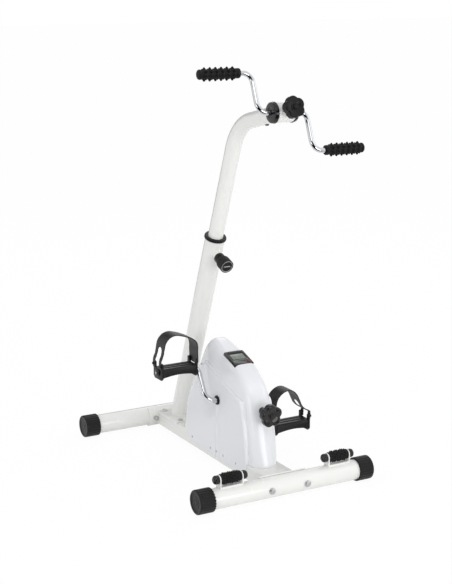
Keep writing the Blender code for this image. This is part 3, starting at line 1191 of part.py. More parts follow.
def brake_bracket():
    """An upright plate on the beam that holds the screw, with two cheeks that guide the shoe."""
    front = BRAKE_PLATE_Y - BRAKE_PLATE / 2
    back = BRAKE_PLATE_Y + BRAKE_PLATE / 2
    half = BRAKE_PLATE_HALF_WIDTH
    foot = BEAM_TOP + TOUCH_GAP
    upright = box("brake_bracket", (-half, front, foot), (half, back, BRAKE_PLATE_TOP))
    obj = piece("brake_bracket", upright, STEEL)
    fuse(obj, box("foot", (-half + 0.0005, front + 0.0005, foot + 0.00001), (half - 0.0005, BRAKE_FOOT_END_Y,
                                                                         foot + BRAKE_PLATE)))
    cheek = SHOE_HALF_WIDTH + TOUCH_GAP
    for side in (-1, 1):
        low = (side * cheek, back - 0.001, LOWER_KNOB_Z - SHOE_HALF_HEIGHT)
        high = (side * (cheek + CHEEK_WALL), CHEEK_END_Y, LOWER_KNOB_Z + SHOE_HALF_HEIGHT)
        fuse(obj, box("cheek", low, high))
    hole = ((0, front - CUT_PAST, LOWER_KNOB_Z), (0, back + CUT_PAST, LOWER_KNOB_Z))
    cut(obj, rod("hole", SCREW_HOLE_RADIUS, *hole))


def brake_shoe():
    """The shoe on the screw's end, hollowed to the wheel, and its felt pad."""
    owner = axis_empty("brake_shoe_axis", (0, SHOE_BACK_Y, LOWER_KNOB_Z))
    low = (-SHOE_HALF_WIDTH, SHOE_BACK_Y, LOWER_KNOB_Z - SHOE_HALF_HEIGHT)
    high = (SHOE_HALF_WIDTH, PEDAL_AXIS.y - WHEEL_RADIUS + 0.005, LOWER_KNOB_Z + SHOE_HALF_HEIGHT)
    obj = piece("brake_shoe", box("brake_shoe", low, high), STEEL, Matrix(), owner)
    pad_face = WHEEL_RADIUS + BRAKE_PAD_GAP
    pad_back = pad_face + BRAKE_PAD_THICKNESS
    ends = (Vector((-0.030, *PEDAL_AXIS.yz)), Vector((0.030, *PEDAL_AXIS.yz)))
    cut(obj, rod("curve", pad_back + TOUCH_GAP, *ends))
    hole = SCREW_RADIUS + RUNNING_GAP
    hole_end = SHOE_BACK_Y + SHOE_SCREW_DEPTH + SHOE_RELEASE + RUNNING_GAP
    cut(obj, rod("hole", hole, (0, SHOE_BACK_Y - CUT_PAST, LOWER_KNOB_Z), (0, hole_end, LOWER_KNOB_Z)))
    low = (-BRAKE_PAD_HALF_WIDTH, SHOE_BACK_Y, LOWER_KNOB_Z - BRAKE_PAD_HALF_HEIGHT)
    high = (BRAKE_PAD_HALF_WIDTH, PEDAL_AXIS.y - WHEEL_RADIUS + 0.005, LOWER_KNOB_Z + BRAKE_PAD_HALF_HEIGHT)
    pad = piece("brake_pad", box("brake_pad", low, high), FELT, Matrix(), owner)
    cut(pad, rod("face", pad_face, *ends))
    keep = combine(pad, "INTERSECT", rod("back", pad_back, *ends))
    keep.name = "brake_pad_back"


# Rollers
def roller(side):
    """A studded rubber roller on an axle in a U bracket welded on the front tube."""
    name = side_name(side)
    centre = Vector((side * ROLLER_X, -TUBE_Y, ROLLER_Z))
    here = Matrix.Translation(centre)
    outside = ROLLER_ARM_INSIDE + ROLLER_ARM_WALL
    half = ROLLER_ARM_HALF_DEPTH
    outline = [(-half, -0.030), (half, -0.030), *arc((0, 0), half, 0, 180, 8)]
    obj = piece(f"roller_bracket_{name}", plate("bracket", outline, 2 * outside), WHITE_PAINT, here @ IN_YZ)
    low = (-ROLLER_ARM_INSIDE, -half - CUT_PAST, ROLLER_BASE_TOP - ROLLER_Z)
    cut(obj, box("gap", low, (ROLLER_ARM_INSIDE, half + CUT_PAST, 0.030)), here)
    seat = TUBE_RADIUS + TOUCH_GAP
    past = outside + CUT_PAST
    drop = TUBE_Z - ROLLER_Z
    cut(obj, rod("tube", seat, (-past, 0, drop), (past, 0, drop)), here)
    cut(obj, rod("hole", AXLE_RADIUS + TOUCH_GAP, (-past, 0, 0), (past, 0, 0)), here)
    axis = axis_empty(f"roller_{name}_axis", centre)
    frame = facing((1, 0, 0), centre - Vector((ROLLER_HALF_LENGTH, 0, 0)))
    studded_sleeve(f"roller_{name}", frame, 2 * ROLLER_HALF_LENGTH, ROLLER_RADIUS, ROLLER_COLLAR_RADIUS,
                   ROLLER_STUD_RADIUS, ROLLER_RINGS, AXLE_RADIUS + RUNNING_GAP, False, axis)
    knob_start = outside + TOUCH_GAP
    knob_end = knob_start + AXLE_KNOB_LENGTH
    head = [(0, knob_end), (AXLE_KNOB_RADIUS * 0.55, knob_end - 0.0005),
            (AXLE_KNOB_RADIUS * 0.9, knob_end - 0.003), (AXLE_KNOB_RADIUS, knob_end - 0.006),
            (AXLE_KNOB_RADIUS, knob_start)]
    tip = -knob_end + 0.004
    profile = (*head, (AXLE_RADIUS, knob_start), (AXLE_RADIUS, tip), (0, tip))
    turned(f"roller_axle_{name}", profile, BLACK_PLASTIC, facing((-1, 0, 0), centre))
    bore = AXLE_RADIUS + TOUCH_GAP
    blind = -tip + TOUCH_GAP
    nut = (*head, (bore, knob_start), (bore, blind), (0, blind))
    turned(f"roller_axle_nut_{name}", nut, BLACK_PLASTIC, facing((1, 0, 0), centre))


base()
mast()
pedal_drive()
bearing_bracket()
crank_bushes()
cover()
slot_covers()
crank_rings()
counter()
lower_knob()
brake_bracket()
brake_shoe()
for roller_side in (-1, 1):
    roller(roller_side)

# The middle of the base stands a little behind the middle of the whole footprint, which is the origin
for shape in [*PARTS.objects, *CUTTERS.objects]:
    if shape.parent is None:
        shape.location.y += BASE_Y
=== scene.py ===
"""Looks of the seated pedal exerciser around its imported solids: finer pieces, finishes, light and camera."""

import json
import math

import bmesh
import bpy
from mathutils import Matrix, Vector


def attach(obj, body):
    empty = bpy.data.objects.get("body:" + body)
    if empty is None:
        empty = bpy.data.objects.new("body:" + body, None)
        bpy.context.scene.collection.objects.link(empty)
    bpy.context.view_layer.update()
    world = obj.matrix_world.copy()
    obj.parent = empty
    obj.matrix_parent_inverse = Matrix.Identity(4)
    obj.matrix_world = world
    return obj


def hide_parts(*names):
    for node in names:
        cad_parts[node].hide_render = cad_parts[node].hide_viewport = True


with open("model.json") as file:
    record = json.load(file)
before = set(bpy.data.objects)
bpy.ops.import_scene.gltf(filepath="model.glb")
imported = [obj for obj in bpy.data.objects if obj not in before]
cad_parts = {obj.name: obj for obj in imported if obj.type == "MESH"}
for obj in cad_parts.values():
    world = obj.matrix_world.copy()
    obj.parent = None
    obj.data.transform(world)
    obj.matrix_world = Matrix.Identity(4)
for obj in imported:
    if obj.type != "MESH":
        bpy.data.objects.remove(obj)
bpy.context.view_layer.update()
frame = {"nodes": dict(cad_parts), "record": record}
NODES = frame["nodes"]
SLOTS = {row["node"]: row["material_slot"] for row in frame["record"]["subparts"]}
BODIES = {node: body for body, nodes in frame["record"]["behaviour"]["bodies"].items() for node in nodes}
HANDS = ((-1, "left"), (1, "right"))

# Places and sizes, in the object's own frame
CLEARANCE = 0.0003
BASE_Y = 0.00357
TUBE_Z = 0.029
TUBE_Y = 0.310
TUBE_RADIUS = 0.025
HALF_LENGTH = {"front": 0.240, "rear": 0.251}
TUBE_BOLT_X = 0.049
CAP_RADIUS = 0.0294
CAP_LENGTH = 0.040
CAP_FLUTES = 24
BEAM_HALF = 0.0415
BEAM_BOTTOM = 0.0102
BEAM_TOP = 0.0472
BEAM_CORNER = 0.004
SADDLE_BORE = 0.0253
SADDLE_RADIUS = 0.0283
SADDLE_HALF = 0.065
SADDLE_ANGLE = 69
FOOT_Y = (0.165, 0.275)
FOOT_BOLT_X = 0.0285
FOOT_BOLT_Y = {"front": 0.173, "rear": 0.266}
MAST_TILT = math.radians(21.05)
MAST_FLOOR_Y = 0.24827
MAST = Matrix.Translation((0, BASE_Y + MAST_FLOOR_Y, 0)) @ Matrix.Rotation(MAST_TILT, 4, "X")
MAST_TOP = 0.6075
HEIGHT_KNOB_PLACE = 0.5714
UPPER_RADIUS = 0.019
UPPER_BEND = 0.120
UPPER_SLOPE = math.radians(12.5)
HAND_AXIS = Vector((0.0, BASE_Y - 0.2846, 0.9076))
HAND_BOSS_RADIUS = 0.0235
HAND_BOSS_HALF = 0.022
UPPER_KNOB_RISE = math.radians(17.2)
PEDAL_AXIS = Vector((0.0, BASE_Y - 0.0607, 0.1751))
LOWER_KNOB_Z = 0.1805
PANEL_X = 0.0443
ROLLER_X = 0.149
ROLLER_Z = 0.074


# Node graphs
MATERIALS = {}


def new_material(name):
    made = bpy.data.materials.new(name)
    made.use_nodes = True
    MATERIALS[name] = made
    return made.node_tree, made.node_tree.nodes["Principled BSDF"]


def feed(tree, node, inputs):
    """Sets a node's inputs, or links them where the value is another node's output."""
    for key, value in inputs.items():
        if isinstance(value, bpy.types.NodeSocket):
            tree.links.new(value, node.inputs[key])
        else:
            node.inputs[key].default_value = value


def add(tree, kind, inputs=(), **settings):
    node = tree.nodes.new(kind)
    for key, value in settings.items():
        setattr(node, key, value)
    feed(tree, node, dict(inputs))
    return node


def noise(tree, scale, detail=3.0):
    """Noise in the object's own metres."""
    place = add(tree, "ShaderNodeTexCoord").outputs["Object"]
    return add(tree, "ShaderNodeTexNoise", {"Scale": scale, "Detail": detail, "Vector": place}).outputs["Fac"]


def ramp(tree, value, dark, light):
    """One tone fading into another over the middle of a value's range."""
    node = add(tree, "ShaderNodeValToRGB", {"Fac": value})
    for element, place, tone in zip(node.color_ramp.elements, (0.3, 0.7), (dark, light)):
        element.position = place
        element.color = (*tone, 1)
    return node.outputs["Color"]


def worn(tree, colour, tone, amount):
    """Mixes a tone in along the convex edges."""
    edge = add(tree, "ShaderNodeMapRange", {
        "Value": add(tree, "ShaderNodeNewGeometry").outputs["Pointiness"],
        "From Min": 0.52, "From Max": 0.62, "To Max": amount})
    mix = add(tree, "ShaderNodeMix", {"Factor": edge.outputs["Result"], "A": colour, "B": (*tone, 1)},
              data_type="RGBA")
    return mix.outputs["Result"]


def finish_of(name, dark, light, roughness, metallic=0.0, patch=18.0, grain=None, coat=0.0, specular=0.5,
              edge=None):
    """A finish whose colour and roughness drift, with worn edges and a fine grain where asked for."""
    tree, shader = new_material(name)
    colour = ramp(tree, noise(tree, patch), dark, light)
    if edge:
        colour = worn(tree, colour, *edge)
    drift = add(tree, "ShaderNodeMapRange",
                {"Value": noise(tree, patch * 6), "To Min": roughness[0], "To Max": roughness[1]})
    feed(tree, shader, {"Base Color": colour, "Roughness": drift.outputs["Result"], "Metallic": metallic,
                        "Specular IOR Level": specular})
    if coat:
        feed(tree, shader, {"Coat Weight": coat, "Coat Roughness": 0.08})
    if grain:
        scale, depth = grain
        height = noise(tree, scale, 2.0)
        bump = add(tree, "ShaderNodeBump", {"Height": height, "Strength": 0.6, "Distance": depth})
        feed(tree, shader, {"Normal": bump.outputs["Normal"]})


finish_of("white_paint", (0.872, 0.872, 0.835), (0.892, 0.892, 0.856), (0.22, 0.30), patch=9, coat=0.35)
finish_of("white_shell", (0.840, 0.852, 0.874), (0.860, 0.870, 0.888), (0.22, 0.28), patch=7, coat=0.30)
finish_of("black_plastic", (0.0065, 0.0065, 0.007), (0.0105, 0.0105, 0.011), (0.30, 0.42),
          grain=(1400, 0.00005), specular=0.20, edge=((0.028, 0.028, 0.029), 0.6))
finish_of("black_gloss", (0.0045, 0.0045, 0.005), (0.008, 0.008, 0.0085), (0.12, 0.20),
          grain=(700, 0.00002), specular=0.42, edge=((0.022, 0.022, 0.023), 0.5))
finish_of("black_rubber", (0.006, 0.006, 0.006), (0.0115, 0.0115, 0.011), (0.44, 0.60),
          grain=(1100, 0.00008), specular=0.20, edge=((0.026, 0.026, 0.026), 0.5))
finish_of("strap_rubber", (0.009, 0.009, 0.009), (0.0155, 0.0155, 0.015), (0.38, 0.50), patch=40,
          grain=(900, 0.00006), specular=0.34, edge=((0.034, 0.034, 0.034), 0.5))
finish_of("black_steel", (0.010, 0.010, 0.010), (0.020, 0.020, 0.020), (0.24, 0.36), patch=60,
          specular=0.4, edge=((0.09, 0.09, 0.09), 0.5))
finish_of("chrome", (0.58, 0.59, 0.61), (0.66, 0.67, 0.69), (0.05, 0.09), metallic=1.0, patch=30)
finish_of("zinc_steel", (0.42, 0.42, 0.43), (0.56, 0.56, 0.57), (0.24, 0.38), metallic=1.0, patch=60,
          edge=((0.75, 0.75, 0.76), 0.5))
finish_of("cast_iron", (0.07, 0.07, 0.075), (0.12, 0.12, 0.125), (0.45, 0.65), metallic=1.0, patch=50,
          grain=(500, 0.0002))
finish_of("nylon", (0.66, 0.65, 0.60), (0.72, 0.71, 0.66), (0.40, 0.50), patch=60)
finish_of("felt", (0.20, 0.19, 0.17), (0.32, 0.30, 0.27), (0.90, 1.00), patch=120, grain=(1500, 0.0004))
finish_of("screen", (0.205, 0.235, 0.203), (0.235, 0.268, 0.232), (0.10, 0.16), patch=90, specular=0.35)
finish_of("screen_digits", (0.075, 0.092, 0.080), (0.095, 0.112, 0.098), (0.30, 0.40), patch=200)
finish_of("button", (0.055, 0.010, 0.012), (0.085, 0.016, 0.018), (0.26, 0.36), patch=150)
finish_of("painted_bolt", (0.50, 0.50, 0.48), (0.60, 0.60, 0.575), (0.28, 0.38), patch=90, coat=0.2,
          edge=((0.30, 0.30, 0.29), 0.4))
MATERIALS["steel"] = MATERIALS["zinc_steel"]


# Pieces
def placed(name, data):
    obj = bpy.data.objects.new(name, data)
    bpy.context.scene.collection.objects.link(obj)
    return obj


def dress(obj, finish):
    obj.data.materials.clear()
    obj.data.materials.append(MATERIALS[finish])


def show(name, mesh, body, slot, finish=None, replaced=(), sharp=38, frame_at=None):
    """A finished piece that rides on a body and may stand for CAD nodes."""
    if frame_at:
        mesh.transform(frame_at)
    mesh.shade_smooth()
    mesh.set_sharp_from_angle(angle=math.radians(sharp))
    obj = placed(name, mesh)
    dress(obj, finish or slot)
    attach(obj, body)
    if replaced:
        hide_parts(*replaced)


def stand_for(node_name, mesh, finish=None, sharp=38, frame_at=None, slot=None):
    """A finer piece in the place of one CAD node."""
    show(f"{node_name}_fine", mesh, BODIES[node_name], slot or SLOTS[node_name], finish, (node_name,), sharp,
         frame_at)


for node_name, node in NODES.items():
    dress(node, SLOTS[node_name])


# Meshes
def clamp(value):
    return min(max(value, 0.0), 1.0)


def facing(direction, at):
    """A frame at a point with its Z axis along a direction."""
    turn = Vector((0, 0, 1)).rotation_difference(Vector(direction))
    return Matrix.Translation(Vector(at)) @ turn.to_matrix().to_4x4()


def full_turn(count):
    return [2 * math.pi * step / count for step in range(count)]


def arc(radius, angles):
    return [(radius * math.cos(angle), radius * math.sin(angle)) for angle in angles]


def circle(radius, count):
    return arc(radius, full_turn(count))


def rounded_rectangle(half_x, half_y, radius, steps):
    points = []
    for sx, sy, start in ((1, 1, 0), (-1, 1, 90), (-1, -1, 180), (1, -1, 270)):
        for step in range(steps + 1):
            angle = math.radians(start + 90 * step / steps)
            points.append((sx * (half_x - radius) + radius * math.cos(angle),
                           sy * (half_y - radius) + radius * math.sin(angle)))
    return points


def eased(points, steps=4):
    """A profile (x, y, rounding) with an arc in place of each rounded corner."""
    made = []
    for before, here, after in zip([points[-1], *points], points, [*points[1:], points[0]]):
        corner = Vector(here[:2])
        if len(here) < 3:
            made.append(tuple(corner))
            continue
        into = Vector(before[:2]) - corner
        out = Vector(after[:2]) - corner
        angle = into.angle(out)
        reach = min(here[2] / math.tan(angle / 2), into.length * 0.49, out.length * 0.49)
        start = corner + into.normalized() * reach
        end = corner + out.normalized() * reach
        for step in range(steps + 1):
            t = step / steps
            made.append(tuple(start * (1 - t) ** 2 + corner * (2 * t * (1 - t)) + end * t ** 2))
    return made


def refined(loop, gap):
    """A closed row of points with more points on its long stretches."""
    made = []
    for first, second in zip(loop, [*loop[1:], loop[0]]):
        count = max(1, round((second - first).length / gap))
        made += [first.lerp(second, step / count) for step in range(count)]
    return made


def rounded_path(corners, radii, steps):
    """The corners joined by straight runs, with an arc in each bend."""
    corners = [Vector(corner) for corner in corners]
    path = [corners[0]]
    for before, corner, after, radius in zip(corners, corners[1:], corners[2:], radii):
        into = (corner - before).normalized()
        out = (after - corner).normalized()
        half_turn = into.angle(out) / 2
        centre = corner + (out - into).normalized() * (radius / math.cos(half_turn))
        arm = corner - into * (radius * math.tan(half_turn)) - centre
        for step in range(steps + 1):
            turn = Matrix.Rotation(2 * half_turn * step / steps, 3, into.cross(out))
            path.append(centre + turn @ arm)
    return path + [corners[-1]]


def smooth_path(points, steps):
    """A smooth curve through the points, which are tuples of equal length."""
    padded = [points[0], *points, points[-1]]
    path = []
    for before, start, end, after in zip(padded, padded[1:], padded[2:], padded[3:]):
        for step in range(steps):
            t = step / steps
            path.append(tuple(
                0.5 * (2 * b + (c - a) * t + (2 * a - 5 * b + 4 * c - d) * t ** 2
                       + (3 * b - a - 3 * c + d) * t ** 3)
                for a, b, c, d in zip(before, start, end, after)))
    return path + [tuple(points[-1])]


def evenly(path, gap):
    """The path's points at even distances near a gap, and that distance."""
    runs = [(Vector(b) - Vector(a)).length for a, b in zip(path, path[1:])]
    total = sum(runs)
    count = round(total / gap)
    made = []
    index = 0
    passed = 0.0
    for step in range(count + 1):
        goal = total * step / count
        while index < len(runs) - 1 and passed + runs[index] < goal:
            passed += runs[index]
            index += 1
        made.append(Vector(path[index]).lerp(Vector(path[index + 1]), clamp((goal - passed) / runs[index])))
    return made, total / count


def mesh_from(bm):
    bmesh.ops.recalc_face_normals(bm, faces=bm.faces[:])
    mesh = bpy.data.meshes.new("shape")
    bm.to_mesh(mesh)
    bm.free()
    return mesh


def skin(rows, cyclic_rows=False, caps=False):
    """Faces between closed rows of points; a row of one point is a pole, with triangles round it."""
    bm = bmesh.new()
    width = max(map(len, rows))
    rows = [[bm.verts.new(point) for point in row] * (width if len(row) == 1 else 1) for row in rows]
    if cyclic_rows:
        rows.append(rows[0])
    for first, second in zip(rows, rows[1:]):
        for index in range(width):
            after = (index + 1) % width
            corners = list(dict.fromkeys((first[index], first[after], second[after], second[index])))
            if len(corners) > 2:
                bm.faces.new(corners)
    if caps:
        bm.faces.new(rows[0])
        bm.faces.new(rows[-1])
    return bm


def revolve(profile, steps, at, shape=None, closed=False):
    """A profile of (radius, height) turned about Z; shape may move each point by its angle."""
    rows = []
    for radius, height in profile:
        if radius < 0.00001:
            rows.append([at @ Vector((0, 0, height))])
            continue
        row = []
        for angle in full_turn(steps):
            out, up = shape(angle, radius, height) if shape else (radius, height)
            row.append(at @ Vector((out * math.cos(angle), out * math.sin(angle), up)))
        rows.append(row)
    return mesh_from(skin(rows, closed))


def sweep(path, outline, first_side, closed=False, scales=None):
    """Carries an outline along a path without twist, with filled ends or in a loop."""
    count = len(path)
    side = Vector(first_side)
    rows = []
    for index, point in enumerate(path):
        if closed:
            ahead = (path[(index + 1) % count] - path[index - 1]).normalized()
        else:
            ahead = (path[min(index + 1, count - 1)] - path[max(index - 1, 0)]).normalized()
        side = (side - ahead * side.dot(ahead)).normalized()
        up = ahead.cross(side)
        scale = scales[index] if scales else 1.0
        rows.append([point + (side * x + up * y) * scale for x, y in outline])
    return mesh_from(skin(rows, closed, not closed))


def slab(half_x, half_y, radius, steps, low_z, high_z, centre=(0, 0), inset=0.0):
    """A flat plate with rounded corners; the upper face may be drawn in to slope the edge."""
    outline = rounded_rectangle(half_x, half_y, radius, steps)
    levels = [(low_z, 1.0), (high_z, 1.0)]
    if inset:
        levels = [(low_z, 1.0), (high_z - inset, 1.0), (high_z, 1 - inset / half_x)]
    rows = [[(centre[0] + x * share, centre[1] + y * share, z) for x, y in outline] for z, share in levels]
    return mesh_from(skin(rows, caps=True))


def block(corner, opposite, edge=0.0, segments=3):
    """A box with rounded edges."""
    lowest = Vector(map(min, corner, opposite))
    highest = Vector(map(max, corner, opposite))
    bm = bmesh.new()
    bmesh.ops.create_cube(bm, size=1.0)
    bmesh.ops.scale(bm, vec=highest - lowest, verts=bm.verts)
    bmesh.ops.translate(bm, vec=(lowest + highest) / 2, verts=bm.verts)
    if edge:
        bmesh.ops.bevel(bm, geom=bm.edges[:], offset=edge, segments=segments, affect="EDGES", profile=0.5)
    return mesh_from(bm)


def plug(radius, start, end, steps=64):
    """A plain round bar between two points, as a cutter or a core."""
    start = Vector(start)
    end = Vector(end)
    length = (end - start).length
    return revolve([(0, 0), (radius, 0), (radius, length), (0, length)], steps, facing(end - start, start))


def pipe(bore, radius, half, steps, at):
    """A round tube that reaches as far to both sides, with its outer edges rounded."""
    profile = eased([(bore, -half), (bore, half), (radius, half, 0.0004), (radius, -half, 0.0004)], 2)
    return revolve(profile, steps, at, closed=True)


def bead(path, radius, first_side=(0, 0, 1)):
    """A weld bead along a closed path, with the ripples of the weld."""
    scales = [1.0 + 0.10 * math.sin(index * 1.9) for index in range(len(path))]
    return sweep(path, circle(radius, 10), first_side, True, scales)


def joined(*meshes):
    bm = bmesh.new()
    for mesh in meshes:
        bm.from_mesh(mesh)
    return mesh_from(bm)


def applied(obj, *helpers):
    """The mesh that an object's modifiers make; the object and its helpers go."""
    graph = bpy.context.evaluated_depsgraph_get()
    made = bpy.data.meshes.new_from_object(obj.evaluated_get(graph))
    for spent in (obj, *helpers):
        bpy.data.objects.remove(spent)
    return made


def carved(mesh, added=(), cut=()):
    """The mesh united with some meshes and then cut by others."""
    target = placed("carved", mesh)
    helpers = []
    for operation, others in (("UNION", added), ("DIFFERENCE", cut)):
        for other in others:
            helpers.append(placed("helper", other))
            modifier = target.modifiers.new("carve", "BOOLEAN")
            modifier.operation = operation
            modifier.object = helpers[-1]
    bm = bmesh.new()
    bm.from_mesh(applied(target, *helpers))
    bmesh.ops.remove_doubles(bm, verts=bm.verts, dist=0.000005)
    bmesh.ops.dissolve_degenerate(bm, edges=bm.edges, dist=0.000005)
    bmesh.ops.holes_fill(bm, edges=[edge for edge in bm.edges if edge.is_boundary])
    return mesh_from(bm)


def softened(mesh, width, angle=32, flatten=True):
    """The mesh with its hard edges rounded."""
    bm = bmesh.new()
    bm.from_mesh(mesh)
    bmesh.ops.remove_doubles(bm, verts=bm.verts, dist=0.00001)
    if flatten:
        bmesh.ops.dissolve_limit(bm, angle_limit=math.radians(1.0), verts=bm.verts, edges=bm.edges)
    hard = [edge for edge in bm.edges if len(edge.link_faces) == 2
            and edge.calc_face_angle(0) > math.radians(angle)]
    bmesh.ops.bevel(bm, geom=hard, offset=width, segments=2, affect="EDGES", profile=0.5, clamp_overlap=True)
    return mesh_from(bm)


def soften_node(node_name, width, finish=None):
    """A CAD node's own shape with rounded edges."""
    stand_for(node_name, softened(NODES[node_name].data.copy(), width), finish, 40)


# Base
def end_cap(name, side, y, half_length):
    """A fluted cap: scalloped inner end, rounded edge, an end face with a rim and shallow rings."""
    depth = 0.0011
    face = CAP_LENGTH - 0.0012
    groove = CAP_LENGTH - 0.0017
    profile = [
        (0, 0.034), (0.0253, 0.034), (0.0253, 0), (0.0288, 0, 0.0008), (CAP_RADIUS, 0.0012, 0.0008),
        (CAP_RADIUS, 0.010), (CAP_RADIUS, 0.020), (CAP_RADIUS, 0.030), (CAP_RADIUS, CAP_LENGTH, 0.0035),
        (0.0235, CAP_LENGTH, 0.0006), (0.0228, face, 0.0004)]
    for outer, inner in ((0.0172, 0.0148), (0.0092, 0.007)):
        profile += [(outer, face, 0.0003), (outer - 0.0004, groove, 0.0002), (inner + 0.0004, groove, 0.0002),
                    (inner, face, 0.0003)]
    profile.append((0, face))

    def fluted(angle, radius, height):
        if radius < 0.0262:
            return radius, height
        flute = depth * (0.5 - 0.5 * math.cos(CAP_FLUTES * angle)) ** 3
        fade = clamp((CAP_LENGTH - 0.0015 - height) / 0.004)
        return radius - flute * fade, height + (flute if height < 0.002 else 0.0)

    at = facing((side, 0, 0), (side * (half_length - CAP_LENGTH), y, TUBE_Z))
    mesh = revolve(eased(profile, 3), CAP_FLUTES * 8, at, fluted)
    for vert in mesh.vertices:
        vert.co.z = max(vert.co.z, 0.0)
    stand_for(name, mesh, sharp=50)


def tube_bolt(name, x, y, side):
    """A domed carriage bolt across the tube and a hexagon nut behind the saddle."""
    seat = TUBE_RADIUS + CLEARANCE
    nut = -(SADDLE_RADIUS + CLEARANCE)
    profile = eased([
        (0, seat + 0.005), (0.0045, seat + 0.0046, 0.004), (0.0085, seat + 0.0016, 0.003),
        (0.0085, seat, 0.0004), (0.004, seat), (0.004, nut), (0.007, nut), (0.007, nut - 0.0058, 0.001),
        (0.0058, nut - 0.0065, 0.0004), (0.004, nut - 0.0065), (0.004, nut - 0.0066), (0, nut - 0.0066)], 4)

    def hexagon(angle, radius, height):
        if radius < 0.006 or height > nut + 0.0001:
            return radius, height
        turn = (angle + math.pi / 6) % (math.pi / 3) - math.pi / 6
        return min(radius, 0.0062 / math.cos(turn)), height

    at = facing((0, side, 0), (x, y, TUBE_Z))
    stand_for(name, revolve(profile, 48, at, hexagon), sharp=40, slot="steel")


def beam():
    """The rectangular tube with rounded corners, its curved saddle plates and their weld beads."""
    middle = (BEAM_BOTTOM + BEAM_TOP) / 2
    outline = rounded_rectangle(BEAM_HALF, (BEAM_TOP - BEAM_BOTTOM) / 2, BEAM_CORNER, 5)
    reach = TUBE_Y - TUBE_RADIUS / 2
    bar = sweep([Vector((0, BASE_Y + y, middle)) for y in (-reach, reach)], outline, (1, 0, 0))
    section = ((SADDLE_BORE, -SADDLE_HALF), (SADDLE_RADIUS, -SADDLE_HALF), (SADDLE_RADIUS, SADDLE_HALF),
               (SADDLE_BORE, SADDLE_HALF))
    plates = []
    bores = []
    beads = []
    for side in (-1, 1):
        y = BASE_Y + side * TUBE_Y
        rows = []
        for step in range(33):
            angle = math.radians(SADDLE_ANGLE * (step / 16 - 1))
            back = side * math.cos(angle)
            rows.append([(x, y - radius * back, TUBE_Z + radius * math.sin(angle)) for radius, x in section])
        plates.append(softened(mesh_from(skin(rows, caps=True)), 0.0007, 40))
        bores.append(plug(SADDLE_BORE + 0.00001, (-0.1, y, TUBE_Z), (0.1, y, TUBE_Z), 96))
        ring = []
        for x, z in outline:
            back = math.sqrt(SADDLE_RADIUS ** 2 - (z + middle - TUBE_Z) ** 2)
            ring.append(Vector((x, y - side * (back + 0.0004), middle + z)))
        beads.append(bead(refined(ring, 0.0022), 0.0016))
    stand_for("main_beam", joined(carved(bar, plates, bores), *beads), sharp=40)


def base():
    """The two round tubes with their caps and bolts, and the beam between them."""
    for end, side in (("front", -1), ("rear", 1)):
        y = BASE_Y + side * TUBE_Y
        half_length = HALF_LENGTH[end]
        at = facing((1, 0, 0), (0, y, TUBE_Z))
        stand_for(f"{end}_stabilizer", pipe(TUBE_RADIUS - 0.002, TUBE_RADIUS, half_length - 0.0063, 96, at))
        for hand, hand_name in HANDS:
            end_cap(f"{end}_end_cap_{hand_name}", hand, y, half_length)
            tube_bolt(f"{end}_tube_bolt_{hand_name}", hand * TUBE_BOLT_X, y, side)
    beam()


# Mast
def height_knob_frame():
    return MAST @ facing((0, -1, 0), (0, 0, HEIGHT_KNOB_PLACE))


def upper_knob_frame():
    return facing((0, -math.cos(UPPER_KNOB_RISE), math.sin(UPPER_KNOB_RISE)), HAND_AXIS)


def mast():
    """The foot channel, the lower tube and the knob's boss, with weld beads round them."""
    inside = BEAM_HALF + CLEARANCE
    outside = inside + 0.0025
    under = BEAM_TOP + CLEARANCE
    top = under + 0.003
    start, end = (BASE_Y + y for y in FOOT_Y)
    channel = block((-outside, start, 0.0405), (outside, end, top), 0.0022, 4)
    tube = revolve(eased([(0, 0.035), (TUBE_RADIUS, 0.035), (TUBE_RADIUS, MAST_TOP, 0.0005),
                          (0.023, MAST_TOP, 0.0005), (0.023, 0.5), (0, 0.5)], 2), 96, MAST)
    knob = height_knob_frame()
    boss = revolve(eased([(0, 0.022), (0.012, 0.022), (0.012, 0.033, 0.0008), (0, 0.033)], 3), 48, knob)
    hollow = block((-inside, start - 0.01, 0), (inside, end + 0.01, under))
    along = MAST.to_3x3() @ Vector((0, 0, 1))
    foot = [MAST @ Vector((x, y, 0)) for x, y in circle(0.0252, 96)]
    foot = [point + along * ((top - point.z) / along.z) for point in foot]
    collar = [knob @ Vector((x, y, math.sqrt(TUBE_RADIUS ** 2 - x ** 2))) for x, y in circle(0.0122, 64)]
    whole = carved(channel, [tube, boss], [hollow])
    stand_for("lower_mast", joined(whole, bead(foot, 0.002), bead(collar, 0.0012)))
    profile = eased([
        (0.0194, 0.0068), (0.0266, 0.0068, 0.0014), (0.028, 0.0046, 0.002), (0.028, 0.0003, 0.0006),
        (0.0227, 0.0003), (0.0227, -0.030), (0.0194, -0.030)], 4)
    stand_for("mast_collar", revolve(profile, 96, MAST @ Matrix.Translation((0, 0, MAST_TOP)), closed=True))
    dome = eased([
        (0, 0.005), (0.005, 0.0044, 0.004), (0.007, 0.0016, 0.002), (0.007, 0, 0.0003), (0.004, 0),
        (0.004, -0.020), (0, -0.020)], 4)
    for end_name, y in FOOT_BOLT_Y.items():
        for hand, hand_name in HANDS:
            at = Matrix.Translation((hand * FOOT_BOLT_X, BASE_Y + y, top + CLEARANCE))
            stand_for(f"mast_foot_bolt_{end_name}_{hand_name}", revolve(dome, 40, at), "painted_bolt")


